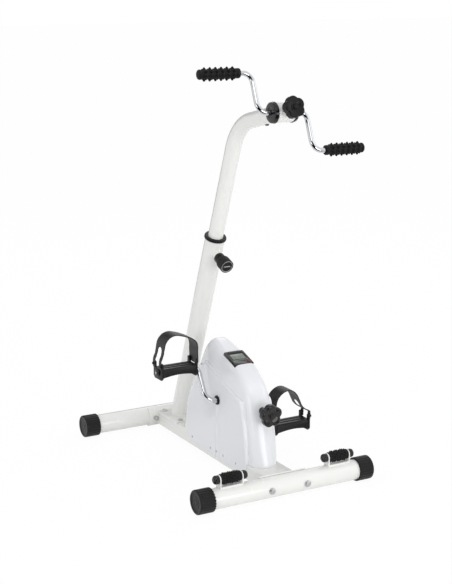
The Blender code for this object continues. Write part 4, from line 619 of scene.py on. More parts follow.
def mast_top():
    """The bent upper tube with its boss and nut, welded, and the screw under it."""
    slope = math.tan(UPPER_SLOPE)
    lean = math.tan(MAST_TILT)
    hand_y = HAND_AXIS.y
    side = Vector((1, 0, 0))
    y = (BASE_Y + MAST_FLOOR_Y - lean * (HAND_AXIS.z + slope * hand_y)) / (1 - lean * slope)
    corner = Vector((0, y, HAND_AXIS.z - slope * (y - hand_y)))
    path = rounded_path((MAST @ Vector((0, 0, 0.400)), corner, HAND_AXIS), (UPPER_BEND,), 32)
    tube = sweep(path, circle(UPPER_RADIUS, 64), side)
    boss = pipe(0.0207, HAND_BOSS_RADIUS, HAND_BOSS_HALF, 80, facing(side, HAND_AXIS))
    nut = revolve(eased([(0, 0.0215), (0.0095, 0.0215), (0.0095, 0.031, 0.0008), (0, 0.031)], 3), 48,
                  upper_knob_frame())
    bore = plug(0.0208, HAND_AXIS - side * 0.04, HAND_AXIS + side * 0.04, 80)
    run = (corner - HAND_AXIS).normalized()
    ring = [HAND_AXIS + side * x + run.cross(side) * z
            + run * (math.sqrt(HAND_BOSS_RADIUS ** 2 - z ** 2) + 0.0002) for x, z in circle(UPPER_RADIUS, 80)]
    stand_for("upper_mast", joined(carved(tube, [boss, nut], [bore]), bead(ring, 0.0017, side)))
    under = Vector((0, run.z, -run.y))
    screw = revolve(eased([(0, 0), (0.0046, 0), (0.0046, 0.0022, 0.0012), (0.0022, 0.003, 0.0004),
                           (0.002, 0.0016), (0, 0.0016)], 3), 40,
                    facing(under, HAND_AXIS + run * 0.0719 + under * 0.0188))
    show("top_tube_screw", screw, "mast_top", "black_steel")


# Knobs
def star_knob(name, at, radius, start, thickness, stem_start, stem_radius, screw_end, phase, crease, finish):
    """A star grip with five dished petals round a low middle button, on its stem and screw."""
    crown = start + thickness
    profile = eased([
        (0, screw_end), (0.005, screw_end, 0.0006), (0.005, stem_start), (stem_radius, stem_start, 0.0006),
        (stem_radius, start - 0.010, 0.004), (radius * 0.62, start - 0.0005, 0.002),
        (radius * 0.84, start + 0.0003, 0.002), (radius, start + 0.004, 0.004),
        (radius, start + thickness * 0.5), (radius, crown - 0.0016, 0.0034), (radius * 0.84, crown, 0.003),
        (radius * 0.60, crown - 0.001, 0.002), (radius * 0.36, crown - 0.0036, 0.002),
        (radius * 0.25, crown - 0.0036, 0.0008), (radius * 0.20, crown - 0.0004, 0.0014), (0, crown)], 5)

    def petals(angle, out, height):
        share = clamp((out / radius - 0.32) / 0.42)
        share = share * share * (3 - 2 * share)
        hollow = share * (1 - (0.5004 + 0.5 * math.cos(5 * (angle - math.radians(phase)))) ** 0.45)
        dip = crease * hollow if height > crown - 0.0075 and out > radius * 0.32 else 0.0
        return out * (1 - 0.15 * hollow), height - dip

    stand_for(name, revolve(profile, 180, at, petals), finish, 60)


def height_knob():
    """The ribbed clamp knob with a bright ring and bar on its end face."""
    at = height_knob_frame()
    end = 0.080
    back = 0.054
    face = end - 0.0018
    radius = 0.0176
    profile = eased([
        (0, 0.0235), (0.005, 0.0235), (0.005, 0.0333), (0.0136, 0.0333, 0.0024), (0.0138, 0.044, 0.006),
        (0.0134, back - 0.0004, 0.001), (0.0168, back, 0.0008), (radius, back + 0.002, 0.001),
        (radius, back + 0.009), (radius, end - 0.006), (radius, end, 0.0018), (0.0158, end, 0.0004),
        (0.0156, face, 0.0004), (0, face)], 4)

    def ribbed(angle, out, height):
        if out < 0.0165 or height < back:
            return out, height
        return out - 0.0009 * (0.5 - 0.5 * math.cos(24 * angle)) ** 2, height

    stand_for("height_knob", revolve(profile, 192, at, ribbed), sharp=45)
    ring = revolve(eased([(0.0138, face), (0.0154, face), (0.0154, face + 0.001, 0.0005),
                          (0.0138, face + 0.001, 0.0005)], 3), 64, at, closed=True)
    bar = block((-0.0092, -0.0012, face), (0.0092, 0.0012, face + 0.001), 0.0005, 2)
    bar.transform(at)
    show("height_knob_inlay", joined(ring, bar), "height_knob", "steel")


def star_knobs():
    """The knob at the crank boss and the knob on the nose of the cover."""
    star_knob(
        "upper_knob", upper_knob_frame(), radius=0.0255, start=0.0375, thickness=0.022, stem_start=0.0313,
        stem_radius=0.011, screw_end=0.01935, phase=31, crease=0.0007, finish="black_plastic")
    star_knob(
        "lower_knob", facing((0, -1, 0), (0, BASE_Y, LOWER_KNOB_Z)), radius=0.0283, start=0.234,
        thickness=0.020, stem_start=0.1878, stem_radius=0.009, screw_end=0.1685, phase=23, crease=0.0026,
        finish="black_gloss")


# Cranks and grips
def crank(name, axis, radius, angle, arm_x, end_x, rod_radius, bends):
    """A rod bent into a crank with two opposite arms; gives the places of its two ends."""
    turn = math.radians(angle)
    up = Vector((0, math.sin(turn), math.cos(turn))) * radius
    places = ((-end_x, 1), (-arm_x, 1), (-arm_x, 0), (arm_x, 0), (arm_x, -1), (end_x, -1))
    corners = [axis + up * side + Vector((x, 0, 0)) for x, side in places]
    path = rounded_path(corners, bends, 18)
    first = path[0] + (path[1] - path[0]).normalized() * 0.001
    last = path[-1] + (path[-2] - path[-1]).normalized() * 0.001
    path = [path[0], first, *path[1:-1], last, path[-1]]
    scales = [0.86, *[1.0] * (len(path) - 2), 0.86]
    stand_for(name, sweep(path, circle(rod_radius, 40), (0, 0, 1), scales=scales), sharp=50)
    return corners[0], corners[-1]


def studded(name, at, length, radius, collar, top, rings, around, plain, bore, spread, stagger, blind=False):
    """A rubber sleeve with rings of pointed studs between two rounded collars."""
    end = length - plain
    pitch = (end - plain) / rings
    half_turn = math.pi / around
    profile = [(0, length - 0.006), (bore, length - 0.006)] if blind else []
    profile += [(bore, 0.0008), (collar * 0.90, 0.0)]
    first_edge = arc(1, map(math.radians, (30, 60, 90)))
    profile += [(collar * (0.90 + 0.10 * y), 0.0022 * (1 - x)) for x, y in first_edge]
    profile += [(collar, plain - 0.003), (collar - 0.0006, plain - 0.0018), (radius, plain - 0.0008)]
    steps = round((end - plain) / 0.0009)
    profile += [(radius, plain + (end - plain) * step / steps) for step in range(steps + 1)]
    profile += [(radius, end + 0.0008), (collar - 0.0006, end + 0.0018), (collar, end + 0.003)]
    if blind:
        last_edge = arc(1, map(math.radians, range(0, 90, 15)))
        profile += [(collar * x, length - 0.005 * (1 - y)) for x, y in last_edge]
        profile += [(collar * 0.12, length), (0, length)]
    else:
        profile += [(collar, length - 0.0022), (collar * 0.97, length - 0.0006), (collar * 0.90, length),
                    (bore, length - 0.0008)]

    def stud(angle, out, height):
        if abs(out - radius) > 0.00001:
            return out, height
        best = 0.0
        row = (height - plain) / pitch - 0.5
        for ring in (math.floor(row), math.floor(row) + 1):
            if not 0 <= ring < rings:
                continue
            along = abs(row - ring) / spread[0]
            turn = (angle - half_turn * stagger * (ring % 2) + half_turn) % (2 * half_turn) - half_turn
            across = abs(turn) / (half_turn * spread[1])
            near = 1 - (along ** 1.6 + across ** 1.6) ** (1 / 1.6)
            best = max(best, clamp(near * 1.35) ** 1.10)
        return out + (top - radius) * best, height

    stand_for(name, revolve(profile, around * 16, at, stud, closed=not blind), sharp=75)


def hand_crank():
    """The bent rod at the mast's head, its grips and the discs that close the boss."""
    ends = crank("hand_crank", HAND_AXIS, radius=0.0942, angle=21.66, arm_x=0.062, end_x=0.192,
                 rod_radius=0.006, bends=[0.024] * 4)
    face = HAND_BOSS_HALF + CLEARANCE
    disc = eased([
        (0.0064, face - 0.009), (0.0204, face - 0.009, 0.0006), (0.0204, face), (0.0248, face, 0.0003),
        (0.025, face + 0.0014, 0.001), (0.0232, face + 0.0085, 0.0022), (0.013, face + 0.0095, 0.002),
        (0.0105, face + 0.0082, 0.0008), (0.0064, face + 0.008, 0.0004)], 4)
    for (hand, hand_name), end in zip(HANDS, ends):
        at = facing((hand, 0, 0), (hand * 0.093, end.y, end.z))
        studded(f"hand_grip_{hand_name}", at, length=0.105, radius=0.0096, collar=0.0114, top=0.0156, rings=6,
                around=8, plain=0.0098, bore=0.0064, spread=(0.42, 1.10), stagger=0, blind=True)
        mesh = revolve(disc, 96, facing((hand, 0, 0), HAND_AXIS), closed=True)
        stand_for(f"hand_crank_disc_{hand_name}", mesh, "black_gloss", 50)


# Pedals and straps
PEDAL_START = 0.088
PEDAL_END = 0.1865
STRAP_HALF = 0.00125
STRAP_EDGE = 0.022
START_CORNER = 0.006
END_CORNER = 0.0045
SLOT_HALF = 0.011
SLOT_TOP = 0.064
WAVE_LENGTH = 0.0135
PIN_HEIGHT = 0.020
PIN_Y = 0.019
STRAP_ROUTES = {
    "left": ((-0.010, 0.044), (-0.012, 0.056), (0.015, 0.068), (0.105, 0.0775), (0.250, 0.0845),
             (0.440, 0.091), (0.610, 0.094), (0.765, 0.0895), (0.880, 0.0775), (0.925, 0.062),
             (0.955, 0.047), (1.008, 0.034)),
    "right": ((-0.012, 0.048), (-0.010, 0.064), (0.030, 0.078), (0.115, 0.0885), (0.235, 0.0955),
              (0.360, 0.0975), (0.490, 0.0935), (0.605, 0.0825), (0.690, 0.066), (0.765, 0.051),
              (0.880, 0.040), (1.000, 0.034)),
}


def drawn_in(radius, distance):
    """How far a round corner draws an edge in at a distance from the end."""
    return radius - math.sqrt(radius ** 2 - (radius - min(distance, radius)) ** 2)


def strap(hand, hand_name, spindle):
    """The rubber strap: a broad band whose outer side splits into two wavy legs with holes."""
    inner = PEDAL_START - CLEARANCE - STRAP_HALF
    outer = PEDAL_END + CLEARANCE + STRAP_HALF
    length = PEDAL_END - PEDAL_START
    over = [(PEDAL_START + share * length, height) for share, height in STRAP_ROUTES[hand_name]]
    bend = smooth_path([(inner, 0.030), *over, (outer, 0.030)], 12)
    path, gap = evenly([(inner, 0.014), *bend, (outer, 0.011)], 0.0011)
    last = len(path) - 1
    top_row = max(range(last + 1), key=lambda row: path[row].y)
    slot_row = min(range(top_row, last + 1), key=lambda row: abs(path[row].y - SLOT_TOP))
    line_row = top_row + round(0.016 / gap)

    def spot(row, lift, across):
        """A point of the band: along its route, off its face and across it."""
        ahead = (path[min(row + 1, last)] - path[max(row - 1, 0)]).normalized()
        return Vector((hand * (path[row].x - ahead.y * lift), spindle.y + across,
                       spindle.z + path[row].y + ahead.x * lift))

    bm = bmesh.new()
    rows = []
    for row in range(last + 1):
        past_slot = (row - slot_row) * gap
        corner = drawn_in(END_CORNER, (last - row) * gap)
        edge = STRAP_EDGE - corner - drawn_in(START_CORNER, row * gap)
        slot = 0.0
        if past_slot > 0:
            wave = 0.5 - 0.5 * math.cos(2 * math.pi * past_slot / WAVE_LENGTH)
            edge -= 0.001 * clamp(past_slot / 0.012) * wave
            slot = SLOT_HALF - drawn_in(SLOT_HALF, past_slot) + corner
            slot += 0.0009 * clamp(past_slot / 0.014) * wave
        line = 0.00035 if hand < 0 and row == line_row else 0.0
        halves = []
        for sign in (-1, 1):
            half = []
            for column in range(11):
                across = sign * (slot + (edge - slot) * column / 10)
                crown = 0.0003 * (1 - (across / STRAP_EDGE) ** 2) * clamp(row * gap / 0.02)
                half.append(bm.verts.new(spot(row, (line + crown) * clamp(-past_slot / 0.010), across)))
            halves.append(half)
        rows.append(halves)
    for before, after in zip(rows, rows[1:]):
        for first, second in zip(before, after):
            for column in range(10):
                bm.faces.new((first[column], first[column + 1], second[column + 1], second[column]))
    bmesh.ops.remove_doubles(bm, verts=bm.verts, dist=0.00001)
    sheet = placed("sheet", mesh_from(bm))
    thick = sheet.modifiers.new("thickness", "SOLIDIFY")
    thick.thickness = 2 * STRAP_HALF
    thick.offset = 0.0
    thick.use_even_offset = True
    holes = []
    for side in (-1, 1):
        for x in (inner, outer):
            start, end = (Vector((hand * (x + reach), spindle.y + side * PIN_Y, spindle.z + PIN_HEIGHT))
                          for reach in (-0.004, 0.004))
            holes.append(plug(0.0028, start, end, 24))
        for back in (0.027, 0.039):
            row = last - round(back / gap)
            holes.append(plug(0.0015, spot(row, -0.004, side * 0.0166), spot(row, 0.004, side * 0.0166), 20))
    band = softened(carved(applied(sheet), cut=holes), 0.0006, 50, False)
    stand_for(f"pedal_strap_{hand_name}", band, "strap_rubber", 55)


def pedals():
    """The pedal crank's rod and, at each end, the pedal, its strap and the cap on the rod."""
    seat = PEDAL_END + CLEARANCE
    cap = eased([
        (0, seat + 0.0055), (0.004, seat + 0.0053, 0.003), (0.0086, seat + 0.0032, 0.002),
        (0.0095, seat + 0.0012, 0.0006), (0.0095, seat, 0.0003), (0.0073, seat), (0.0073, seat + 0.004),
        (0, seat + 0.004)], 4)
    pin = eased([(0, seat + 0.0045), (0.003, seat + 0.0045), (0.003, seat + 0.0057, 0.0006),
                 (0, seat + 0.0062)], 4)
    ends = crank("pedal_crank", PEDAL_AXIS, radius=0.0923, angle=29.37, arm_x=0.077, end_x=PEDAL_END + 0.004,
                 rod_radius=0.007, bends=[0.018, 0.027, 0.027, 0.018])
    for (hand, hand_name), end in zip(HANDS, ends):
        soften_node(f"pedal_{hand_name}", 0.0006, "black_plastic")
        strap(hand, hand_name, end)
        at = facing((hand, 0, 0), (0, end.y, end.z))
        name = f"spindle_cap_{hand_name}"
        stand_for(name, revolve(cap, 48, at), "black_gloss", 45, slot="black_plastic")
        show(f"spindle_pin_{hand_name}", revolve(pin, 32, at), BODIES[name], "steel")


# Cover
COVER_WALL = 0.0025
COVER_BOTTOM = 0.024
COVER_OVER_BEAM = BEAM_TOP + CLEARANCE
PANEL_OUTLINE = ((-0.203, COVER_BOTTOM), (-0.2022, 0.060), (-0.196, 0.113), (-0.187, 0.156),
                 (-0.177, 0.193), (-0.1725, 0.2005), (-0.160, 0.2045), (-0.128, 0.2135), (-0.0815, 0.231),
                 (-0.037, 0.2465), (0.003, 0.260), (0.0125, 0.2605), (0.037, 0.233), (0.070, 0.179),
                 (0.096, 0.137), (0.1075, 0.106), (0.1136, 0.077), (0.1203, 0.0535), (0.087, COVER_BOTTOM))
FOLD_TOP = Vector((0, 0.003, 0.260))
FOLD_FOOT = Vector((0, -0.030, 0.184))
FOLD_DEPTH = 0.009
FOLD_REACH = 0.025
HOOD_ROOT = 0.006
# Foot of each section on the panel outline, crown, set-back from the panels, fullness, lean
HOOD_SECTIONS = (
    (-0.203, COVER_OVER_BEAM, -0.2395, COVER_OVER_BEAM, 0.0083, 2.0, 0.00),
    (-0.1995, 0.085, -0.2297, 0.086, 0.0091, 2.05, 0.00),
    (-0.1945, 0.120, -0.2218, 0.1215, 0.010, 2.1, 0.00),
    (-0.1862, 0.160, -0.2112, 0.163, 0.011, 2.2, 0.00),
    (-0.1783, 0.188, -0.2022, 0.192, 0.0118, 2.3, 0.00),
    (-0.1745, 0.197, -0.195, 0.2125, 0.0118, 2.5, 0.02),
    (-0.170, 0.202, -0.185, 0.232, 0.0108, 2.8, 0.06),
    (-0.160, 0.2045, -0.170, 0.2492, 0.0093, 3.4, 0.12),
    (-0.144, 0.209, -0.1495, 0.264, 0.0073, 4.2, 0.18),
    (-0.118, 0.217, -0.1215, 0.2775, 0.0058, 5.2, 0.22),
    (-0.0815, 0.231, -0.086, 0.289, 0.0048, 5.4, 0.25),
    (-0.037, 0.2465, -0.042, 0.302, 0.0043, 4.4, 0.26),
    (-0.010, 0.2555, -0.011, 0.3115, 0.0058, 3.7, 0.25),
    (0.003, 0.260, 0.0105, 0.3145, 0.0073, 3.4, 0.22),
    (0.011, 0.2605, 0.029, 0.3045, 0.0098, 3.1, 0.18),
    (0.021, 0.252, 0.0465, 0.287, 0.0118, 3.0, 0.14),
    (0.037, 0.233, 0.0665, 0.2515, 0.0118, 2.9, 0.10),
    (0.053, 0.207, 0.083, 0.223, 0.0108, 2.9, 0.07),
    (0.070, 0.179, 0.0995, 0.195, 0.0093, 2.7, 0.04),
    (0.096, 0.137, 0.125, 0.149, 0.0073, 2.5, 0.02),
    (0.1075, 0.106, 0.137, 0.115, 0.0065, 2.3, 0.00),
    (0.114, 0.075, 0.1445, 0.079, 0.0061, 2.2, 0.00),
    (0.116, COVER_OVER_BEAM, 0.148, COVER_OVER_BEAM, 0.0058, 2.2, 0.00),
)
COVER_SCREWS = [(y, 0.0375) for y in (0.075, -0.024, -0.054, -0.089, -0.153)] + [(0.034, 0.244)]


def panel_outline(distance, bottom):
    """The side panel's outline, drawn in by a distance, with its corners softened."""
    count = len(PANEL_OUTLINE)
    moved = []
    for index in range(count):
        before, corner, after = (Vector(PANEL_OUTLINE[k % count]) for k in (index - 1, index, index + 1))
        into = (corner - before).normalized()
        out = (after - corner).normalized()
        inward = Vector((into.y + out.y, -into.x - out.x)) / (1 + into.dot(out))
        moved.append(corner + inward * distance)
    moved[0].y = bottom
    moved[-1].y = bottom
    return eased([tuple(moved[0]), *[(*point, 0.010) for point in moved[1:-1]], tuple(moved[-1])], 4)


def panels(distance, bottom, edge=0.0):
    """The slab between the side panels, its rim rounded, its rear top corners folded in."""
    half = PANEL_X - distance
    levels = [(half, 0.0)]
    if edge:
        turns = [math.pi / 2 * step / 6 for step in range(7)]
        levels = [(half - edge * (1 - math.cos(turn)), edge * (1 - math.sin(turn))) for turn in turns]
        levels.insert(0, (half, edge + 0.001))
    levels = [(-x, inset) for x, inset in levels] + [(x, inset) for x, inset in reversed(levels)]
    rows = [[(x, y, z) for y, z in panel_outline(distance + inset, bottom)] for x, inset in levels]
    bm = skin(rows, caps=True)
    rise = FOLD_TOP.z - FOLD_FOOT.z
    across = Vector((0, rise, FOLD_FOOT.y - FOLD_TOP.y)).normalized()
    reaches = (0, 0.0015, 0.005, 0.010, 0.015, 0.020, 0.025, 0.035)
    cuts = [(FOLD_TOP + across * reach, across) for reach in reaches]
    cuts += [(Vector((0, 0, FOLD_FOOT.z + 0.012 * step)), Vector((0, 0, 1))) for step in range(7)]
    for place, normal in cuts:
        whole = bm.verts[:] + bm.edges[:] + bm.faces[:]
        bmesh.ops.bisect_plane(bm, geom=whole, dist=0.000001, plane_co=place, plane_no=normal)
    folded = {}
    for vert in bm.verts:
        share = clamp((vert.co - FOLD_TOP).dot(across) / FOLD_REACH) * clamp((vert.co.z - FOLD_FOOT.z) / rise)
        if share > 0.0001:
            folded[vert] = FOLD_DEPTH * share
    bmesh.ops.triangulate(bm, faces=[face for face in bm.faces if any(vert in folded for vert in face.verts)])
    for vert, depth in folded.items():
        vert.co.x -= math.copysign(depth, vert.co.x)
    return mesh_from(bm)


def hood(distance, bottom, points, steps):
    """The hood from the nose over the top to the tail: sections that change from round to square."""
    sections = []
    for fy, fz, cy, cz, set_back, fullness, lean in smooth_path(HOOD_SECTIONS, steps):
        foot = Vector((0, fy, fz))
        crown = Vector((0, cy, cz))
        out = (crown - foot).normalized()
        height = (crown - foot).length - distance
        half = PANEL_X - set_back - distance
        root = foot - out * (HOOD_ROOT + 2 * distance)
        section = [root + Vector((half, 0, 0))]
        for step in range(points + 1):
            angle = math.pi * step / points
            along = math.copysign(abs(math.cos(angle)) ** (2 / fullness), math.cos(angle))
            rise = math.sin(angle) ** (2 / fullness) if 0 < step < points else 0.0
            section.append(foot + out * (height * rise) + Vector((half * along * (1 - lean * rise), 0, 0)))
        section.append(root - Vector((half, 0, 0)))
        sections.append(section)
    if distance:
        drop = Vector((0, 0, bottom - COVER_OVER_BEAM))
        sections.insert(0, [point + drop for point in sections[0]])
        sections.append([point + drop for point in sections[-1]])
    return mesh_from(skin(sections, caps=True))


def counter_frame():
    return Matrix.Translation((0, -0.0895, 0.2833)) @ Matrix.Rotation(math.radians(17.9), 4, "X")


def cover_screw(name, at):
    """A domed screw head with a cross recess."""
    head = revolve(eased([(0, 0), (0.0031, 0), (0.0031, 0.0005, 0.0002), (0.002, 0.0014, 0.0012),
                          (0, 0.0015)], 4), 32, at)
    arms = []
    for turn in (0.3, 0.3 + math.pi / 2):
        arm = block((-0.0018, -0.00035, 0.0007), (0.0018, 0.00035, 0.003))
        arm.transform(at @ Matrix.Rotation(turn, 4, "Z"))
        arms.append(arm)
    show(name, carved(head, cut=arms), "base", "steel")


def cover():
    """The one-piece moulded cover with its openings, the screws along its foot and the rings at the crank."""
    half_beam = BEAM_HALF + 0.00015
    axis = Vector((0, PEDAL_AXIS.y - BASE_Y, PEDAL_AXIS.z))
    seat = block((-0.0273, -0.0313, -0.004), (0.0273, 0.0313, 0.030))
    seat.transform(counter_frame())
    window = block((-0.0243, -0.0283, -0.020), (0.0243, 0.0283, 0.004))
    window.transform(counter_frame())
    shell = carved(panels(0, COVER_BOTTOM, 0.0045), [hood(0, COVER_OVER_BEAM, 44, 4)], [
        panels(COVER_WALL, 0.0),
        hood(COVER_WALL, 0.030, 16, 1),
        block((-half_beam, -0.260, 0), (half_beam, 0.180, COVER_OVER_BEAM)),
        block((-0.060, axis.y - 0.011, 0), (0.060, axis.y + 0.011, axis.z)),
        plug(0.0112, axis - Vector((0.06, 0, 0)), axis + Vector((0.06, 0, 0))),
        plug(0.0094, (0, -0.230, LOWER_KNOB_Z), (0, -0.185, LOWER_KNOB_Z)),
        seat,
        window])
    shell.transform(Matrix.Translation((0, BASE_Y, 0)))
    stand_for("cover", shell, sharp=32)
    face = PANEL_X + CLEARANCE
    ring = eased([(0.0074, 0.0418), (0.0096, 0.0418), (0.0096, face), (0.0118, face, 0.0003),
                  (0.0118, face + 0.003, 0.0012), (0.0074, face + 0.003, 0.0006)], 4)
    for hand, hand_name in HANDS:
        soften_node(f"slot_cover_{hand_name}", 0.0004)
        stand_for(f"crank_ring_{hand_name}", revolve(ring, 64, facing((hand, 0, 0), PEDAL_AXIS), closed=True))
        for number, (y, z) in enumerate(COVER_SCREWS):
            inward = FOLD_DEPTH * 0.72 if z > FOLD_FOOT.z else 0.0
            at = facing((hand, 0, 0), (hand * (PANEL_X - inward - 0.0002), BASE_Y + y, z))
            cover_screw(f"cover_screw_{hand_name}_{number + 1}", at)


# Counter
def digit_meshes(x, y, size, z):
    """The digits 0:00 as thin raised strips."""
    wide = size * 0.5
    bar = size * 0.11
    level = (wide / 2 - bar * 0.6, bar / 2)
    upright = (bar / 2, size / 4 - bar * 0.6)
    zero = ((0, size / 2, level), (wide / 2, size / 4, upright), (wide / 2, -size / 4, upright),
            (0, -size / 2, level), (-wide / 2, -size / 4, upright), (-wide / 2, size / 4, upright))
    colon = [(0, up * size, (bar / 2, bar / 2)) for up in (-0.2, 0.2)]
    made = []
    for number, strips in enumerate((zero, colon, zero, zero)):
        left = x + number * size * 0.78
        for dx, dy, (half_x, half_y) in strips:
            made.append(block((left + dx - half_x, y + dy - half_y, z),
                              (left + dx + half_x, y + dy + half_y, z + 0.00006)))
    return made


def counter():
    """The bezel with its screen, digits, maroon field and button."""
    at = Matrix.Translation((0, BASE_Y, 0)) @ counter_frame()
    top = 0.0033
    middle = (0, 0.006)
    press = (0.017, -0.020)
    plate = slab(0.027, 0.031, 0.0035, 6, -0.0037, top, inset=0.0008)
    body = block((-0.024, -0.028, -0.010), (0.024, 0.028, -0.003), 0.001)
    recess = slab(0.0193, 0.0123, 0.0008, 3, top - 0.0023, top + 0.002, middle)
    funnel = slab(0.0222, 0.0148, 0.0015, 4, top - 0.0007, top + 0.002, middle)
    hole = plug(0.0048, (*press, top - 0.0065), (*press, top + 0.004), 40)
    housing = carved(plate, [body], [funnel, recess, hole])
    stand_for("counter_housing", softened(housing, 0.00018), "black_gloss", 40, at)
    glass = top - 0.0005
    window = block((-0.019, -0.006, top - 0.002), (0.019, 0.018, glass), 0.0003, 2)
    stand_for("counter_screen", window, sharp=40, frame_at=at)
    border = slab(0.0192, 0.0122, 0.0008, 3, glass + 0.00002, glass + 0.00012, middle)
    inside = slab(0.0177, 0.0111, 0.0008, 3, glass - 0.001, glass + 0.001, middle)
    show("counter_border", carved(border, cut=[inside]), "base", "black_plastic", "black_gloss", frame_at=at)
    digits = joined(*digit_meshes(-0.0095, 0.0045, 0.0088, glass))
    show("counter_digits", digits, "base", "screen", "screen_digits", frame_at=at)
    field = slab(0.0078, 0.0068, 0.0015, 4, top - 0.0001, top + 0.00012, (0.0165, -0.0205))
    show("counter_field", carved(field, cut=[hole]), "base", "button", frame_at=at)
    cap = top + 0.0022
    button = eased([
        (0, cap), (0.003, cap - 0.0003, 0.002), (0.0045, cap - 0.0016, 0.001), (0.0045, top - 0.0045),
        (0, top - 0.0045)], 5)
    stand_for("counter_button", revolve(button, 48, at @ Matrix.Translation((*press, 0))), sharp=50)


# Rollers
def rollers():
    """The two foot rollers in their brackets, on axles with a knob at each end."""
    start = 0.0311
    end = start + 0.014
    tip = end - 0.004
    head = [
        (0, end), (0.0058, end - 0.0005, 0.003), (0.0094, end - 0.003, 0.003), (0.0105, end - 0.006, 0.002),
        (0.0105, start, 0.0006)]
    axle = eased([*head, (0.004, start), (0.004, -tip), (0, -tip)], 5)
    nut = eased([*head, (0.0043, start), (0.0043, tip + CLEARANCE), (0, tip + CLEARANCE)], 5)
    for hand, hand_name in HANDS:
        centre = Vector((hand * ROLLER_X, BASE_Y - TUBE_Y, ROLLER_Z))
        soften_node(f"roller_bracket_{hand_name}", 0.0006)
        studded(f"roller_{hand_name}", facing((1, 0, 0), centre - Vector((0.027, 0, 0))), length=0.054,
                radius=0.0105, collar=0.0122, top=0.015, rings=6, around=9, plain=0.0055, bore=0.0044,
                spread=(0.56, 0.84), stagger=1)
        for name, profile, side in (("roller_axle", axle, -1), ("roller_axle_nut", nut, 1)):
            mesh = revolve(profile, 48, facing((side, 0, 0), centre))
            stand_for(f"{name}_{hand_name}", mesh, "black_gloss", 50)


base()
mast()
mast_top()
height_knob()
hand_crank()
star_knobs()
pedals()
cover()
counter()
rollers()


# Floor, backdrop and light
AHEAD = Vector((-0.4888, -0.8724, 0))
ASIDE = Vector((0.8724, -0.4888, 0))
FLAG_LIFT = 0.012
FLAG_NEAR = 0.75
FLAG_FAR = 4.4
FLAG_SIDE = 3.2
FLAG_TOP = 3.0


def background_rays(tree):
    """1 for the rays that show the background: from the camera, and in metal or glass."""
    rays = add(tree, "ShaderNodeLightPath").outputs
    shown = rays["Is Camera Ray"]
    for kind in ("Is Glossy Ray", "Is Transmission Ray"):
        shown = add(tree, "ShaderNodeMath", {0: shown, 1: rays[kind]}, operation="MAXIMUM").outputs[0]
    return shown


def stage_floor():
    """A pale floor that keeps the object's shadow and is white to the rays that show the background."""
    bm = bmesh.new()
    bmesh.ops.create_grid(bm, x_segments=1, y_segments=1, size=30.0)
    floor = placed("floor", mesh_from(bm))
    tree, shader = new_material("floor")
    feed(tree, shader, {"Base Color": (0.86, 0.86, 0.86, 1), "Roughness": 0.9})
    glow = add(tree, "ShaderNodeEmission", {"Color": (1, 1, 1, 1), "Strength": 1.018})
    share = add(tree, "ShaderNodeMath", {0: background_rays(tree), 1: 0.93}, operation="MULTIPLY").outputs[0]
    mix = add(tree, "ShaderNodeMixShader", {0: share, 1: shader.outputs[0], 2: glow.outputs[0]})
    feed(tree, tree.nodes["Material Output"], {"Surface": mix.outputs[0]})
    dress(floor, "floor")


def sky():
    world = bpy.data.worlds.new("studio")
    bpy.context.scene.world = world
    world.use_nodes = True
    tree = world.node_tree
    mix = add(tree, "ShaderNodeMix", {
        "Factor": background_rays(tree), "A": (0.69, 0.695, 0.71, 1), "B": (1, 1, 1, 1)}, data_type="RGBA")
    feed(tree, tree.nodes["Background"], {"Color": mix.outputs["Result"], "Strength": 1.0})


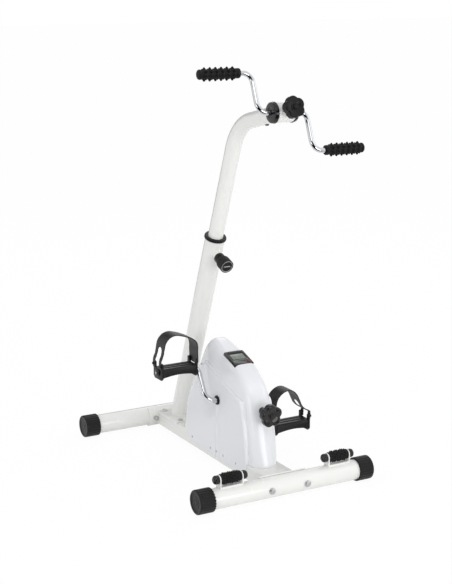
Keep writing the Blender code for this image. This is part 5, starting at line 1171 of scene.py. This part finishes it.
def flag(name, *corners):
    """A dark studio panel that only shows in reflections; its corners are given ahead, aside and up."""
    bm = bmesh.new()
    spots = [AHEAD * ahead + ASIDE * aside + Vector((0, 0, up)) for ahead, aside, up in corners]
    bm.faces.new([bm.verts.new(spot) for spot in spots])
    panel = placed(name, mesh_from(bm))
    tree, shader = new_material(name)
    feed(tree, shader, {"Base Color": (0.010, 0.010, 0.010, 1), "Roughness": 1.0, "Specular IOR Level": 0.0})
    dress(panel, name)
    panel.visible_camera = False
    panel.visible_diffuse = False
    panel.visible_transmission = False
    panel.visible_shadow = False


def lamp(name, place, target, size, power):
    data = bpy.data.lights.new(name, "AREA")
    data.shape = "DISK"
    data.size = size
    data.energy = power
    obj = placed(name, data)
    obj.location = place
    obj.rotation_euler = (Vector(target) - Vector(place)).to_track_quat("-Z", "Y").to_euler()


def camera():
    data = bpy.data.cameras.new("camera")
    data.sensor_fit = "VERTICAL"
    data.sensor_height = 36.0
    data.lens = 82.81
    data.clip_end = 100
    obj = placed("camera", data)
    turn, rise, distance = math.radians(-29.25), math.radians(13.23), 3.37245
    target = Vector((0.01413, BASE_Y, 0.43279))
    back = Vector((math.sin(turn) * math.cos(rise), -math.cos(turn) * math.cos(rise), math.sin(rise)))
    obj.location = target + back * distance
    obj.rotation_euler = (-back).to_track_quat("-Z", "Y").to_euler()
    bpy.context.scene.camera = obj


stage_floor()
sky()
flag("flag_low", (FLAG_NEAR, -2.4, FLAG_LIFT), (FLAG_NEAR, 2.4, FLAG_LIFT), (FLAG_FAR, FLAG_SIDE, FLAG_LIFT),
     (FLAG_FAR, -FLAG_SIDE, FLAG_LIFT))
flag("flag_wall", (FLAG_FAR, -FLAG_SIDE, 0), (FLAG_FAR, FLAG_SIDE, 0), (FLAG_FAR, FLAG_SIDE, FLAG_TOP),
     (FLAG_FAR, -FLAG_SIDE, FLAG_TOP))
flag("flag_left", (-2.2, -2.2, 0), (-3.4, -0.3, 0), (-3.4, -0.3, FLAG_TOP), (-2.2, -2.2, FLAG_TOP))
lamp("key", (-1.6, -2.6, 3.0), (0, 0, 0.4), 1.8, 16)
lamp("front", (0.3, -3.6, 0.25), (0, 0, 0.5), 2.0, 37)
lamp("side", (-3.2, -1.5, 0.5), (0, 0, 0.4), 1.8, 14)
lamp("fill", (2.6, -1.6, 1.6), (0, 0, 0.4), 2.0, 8)
lamp("rim", (1.2, 2.6, 2.4), (0, 0, 0.5), 1.6, 8)
camera()
bpy.context.scene.view_settings.view_transform = "Standard"
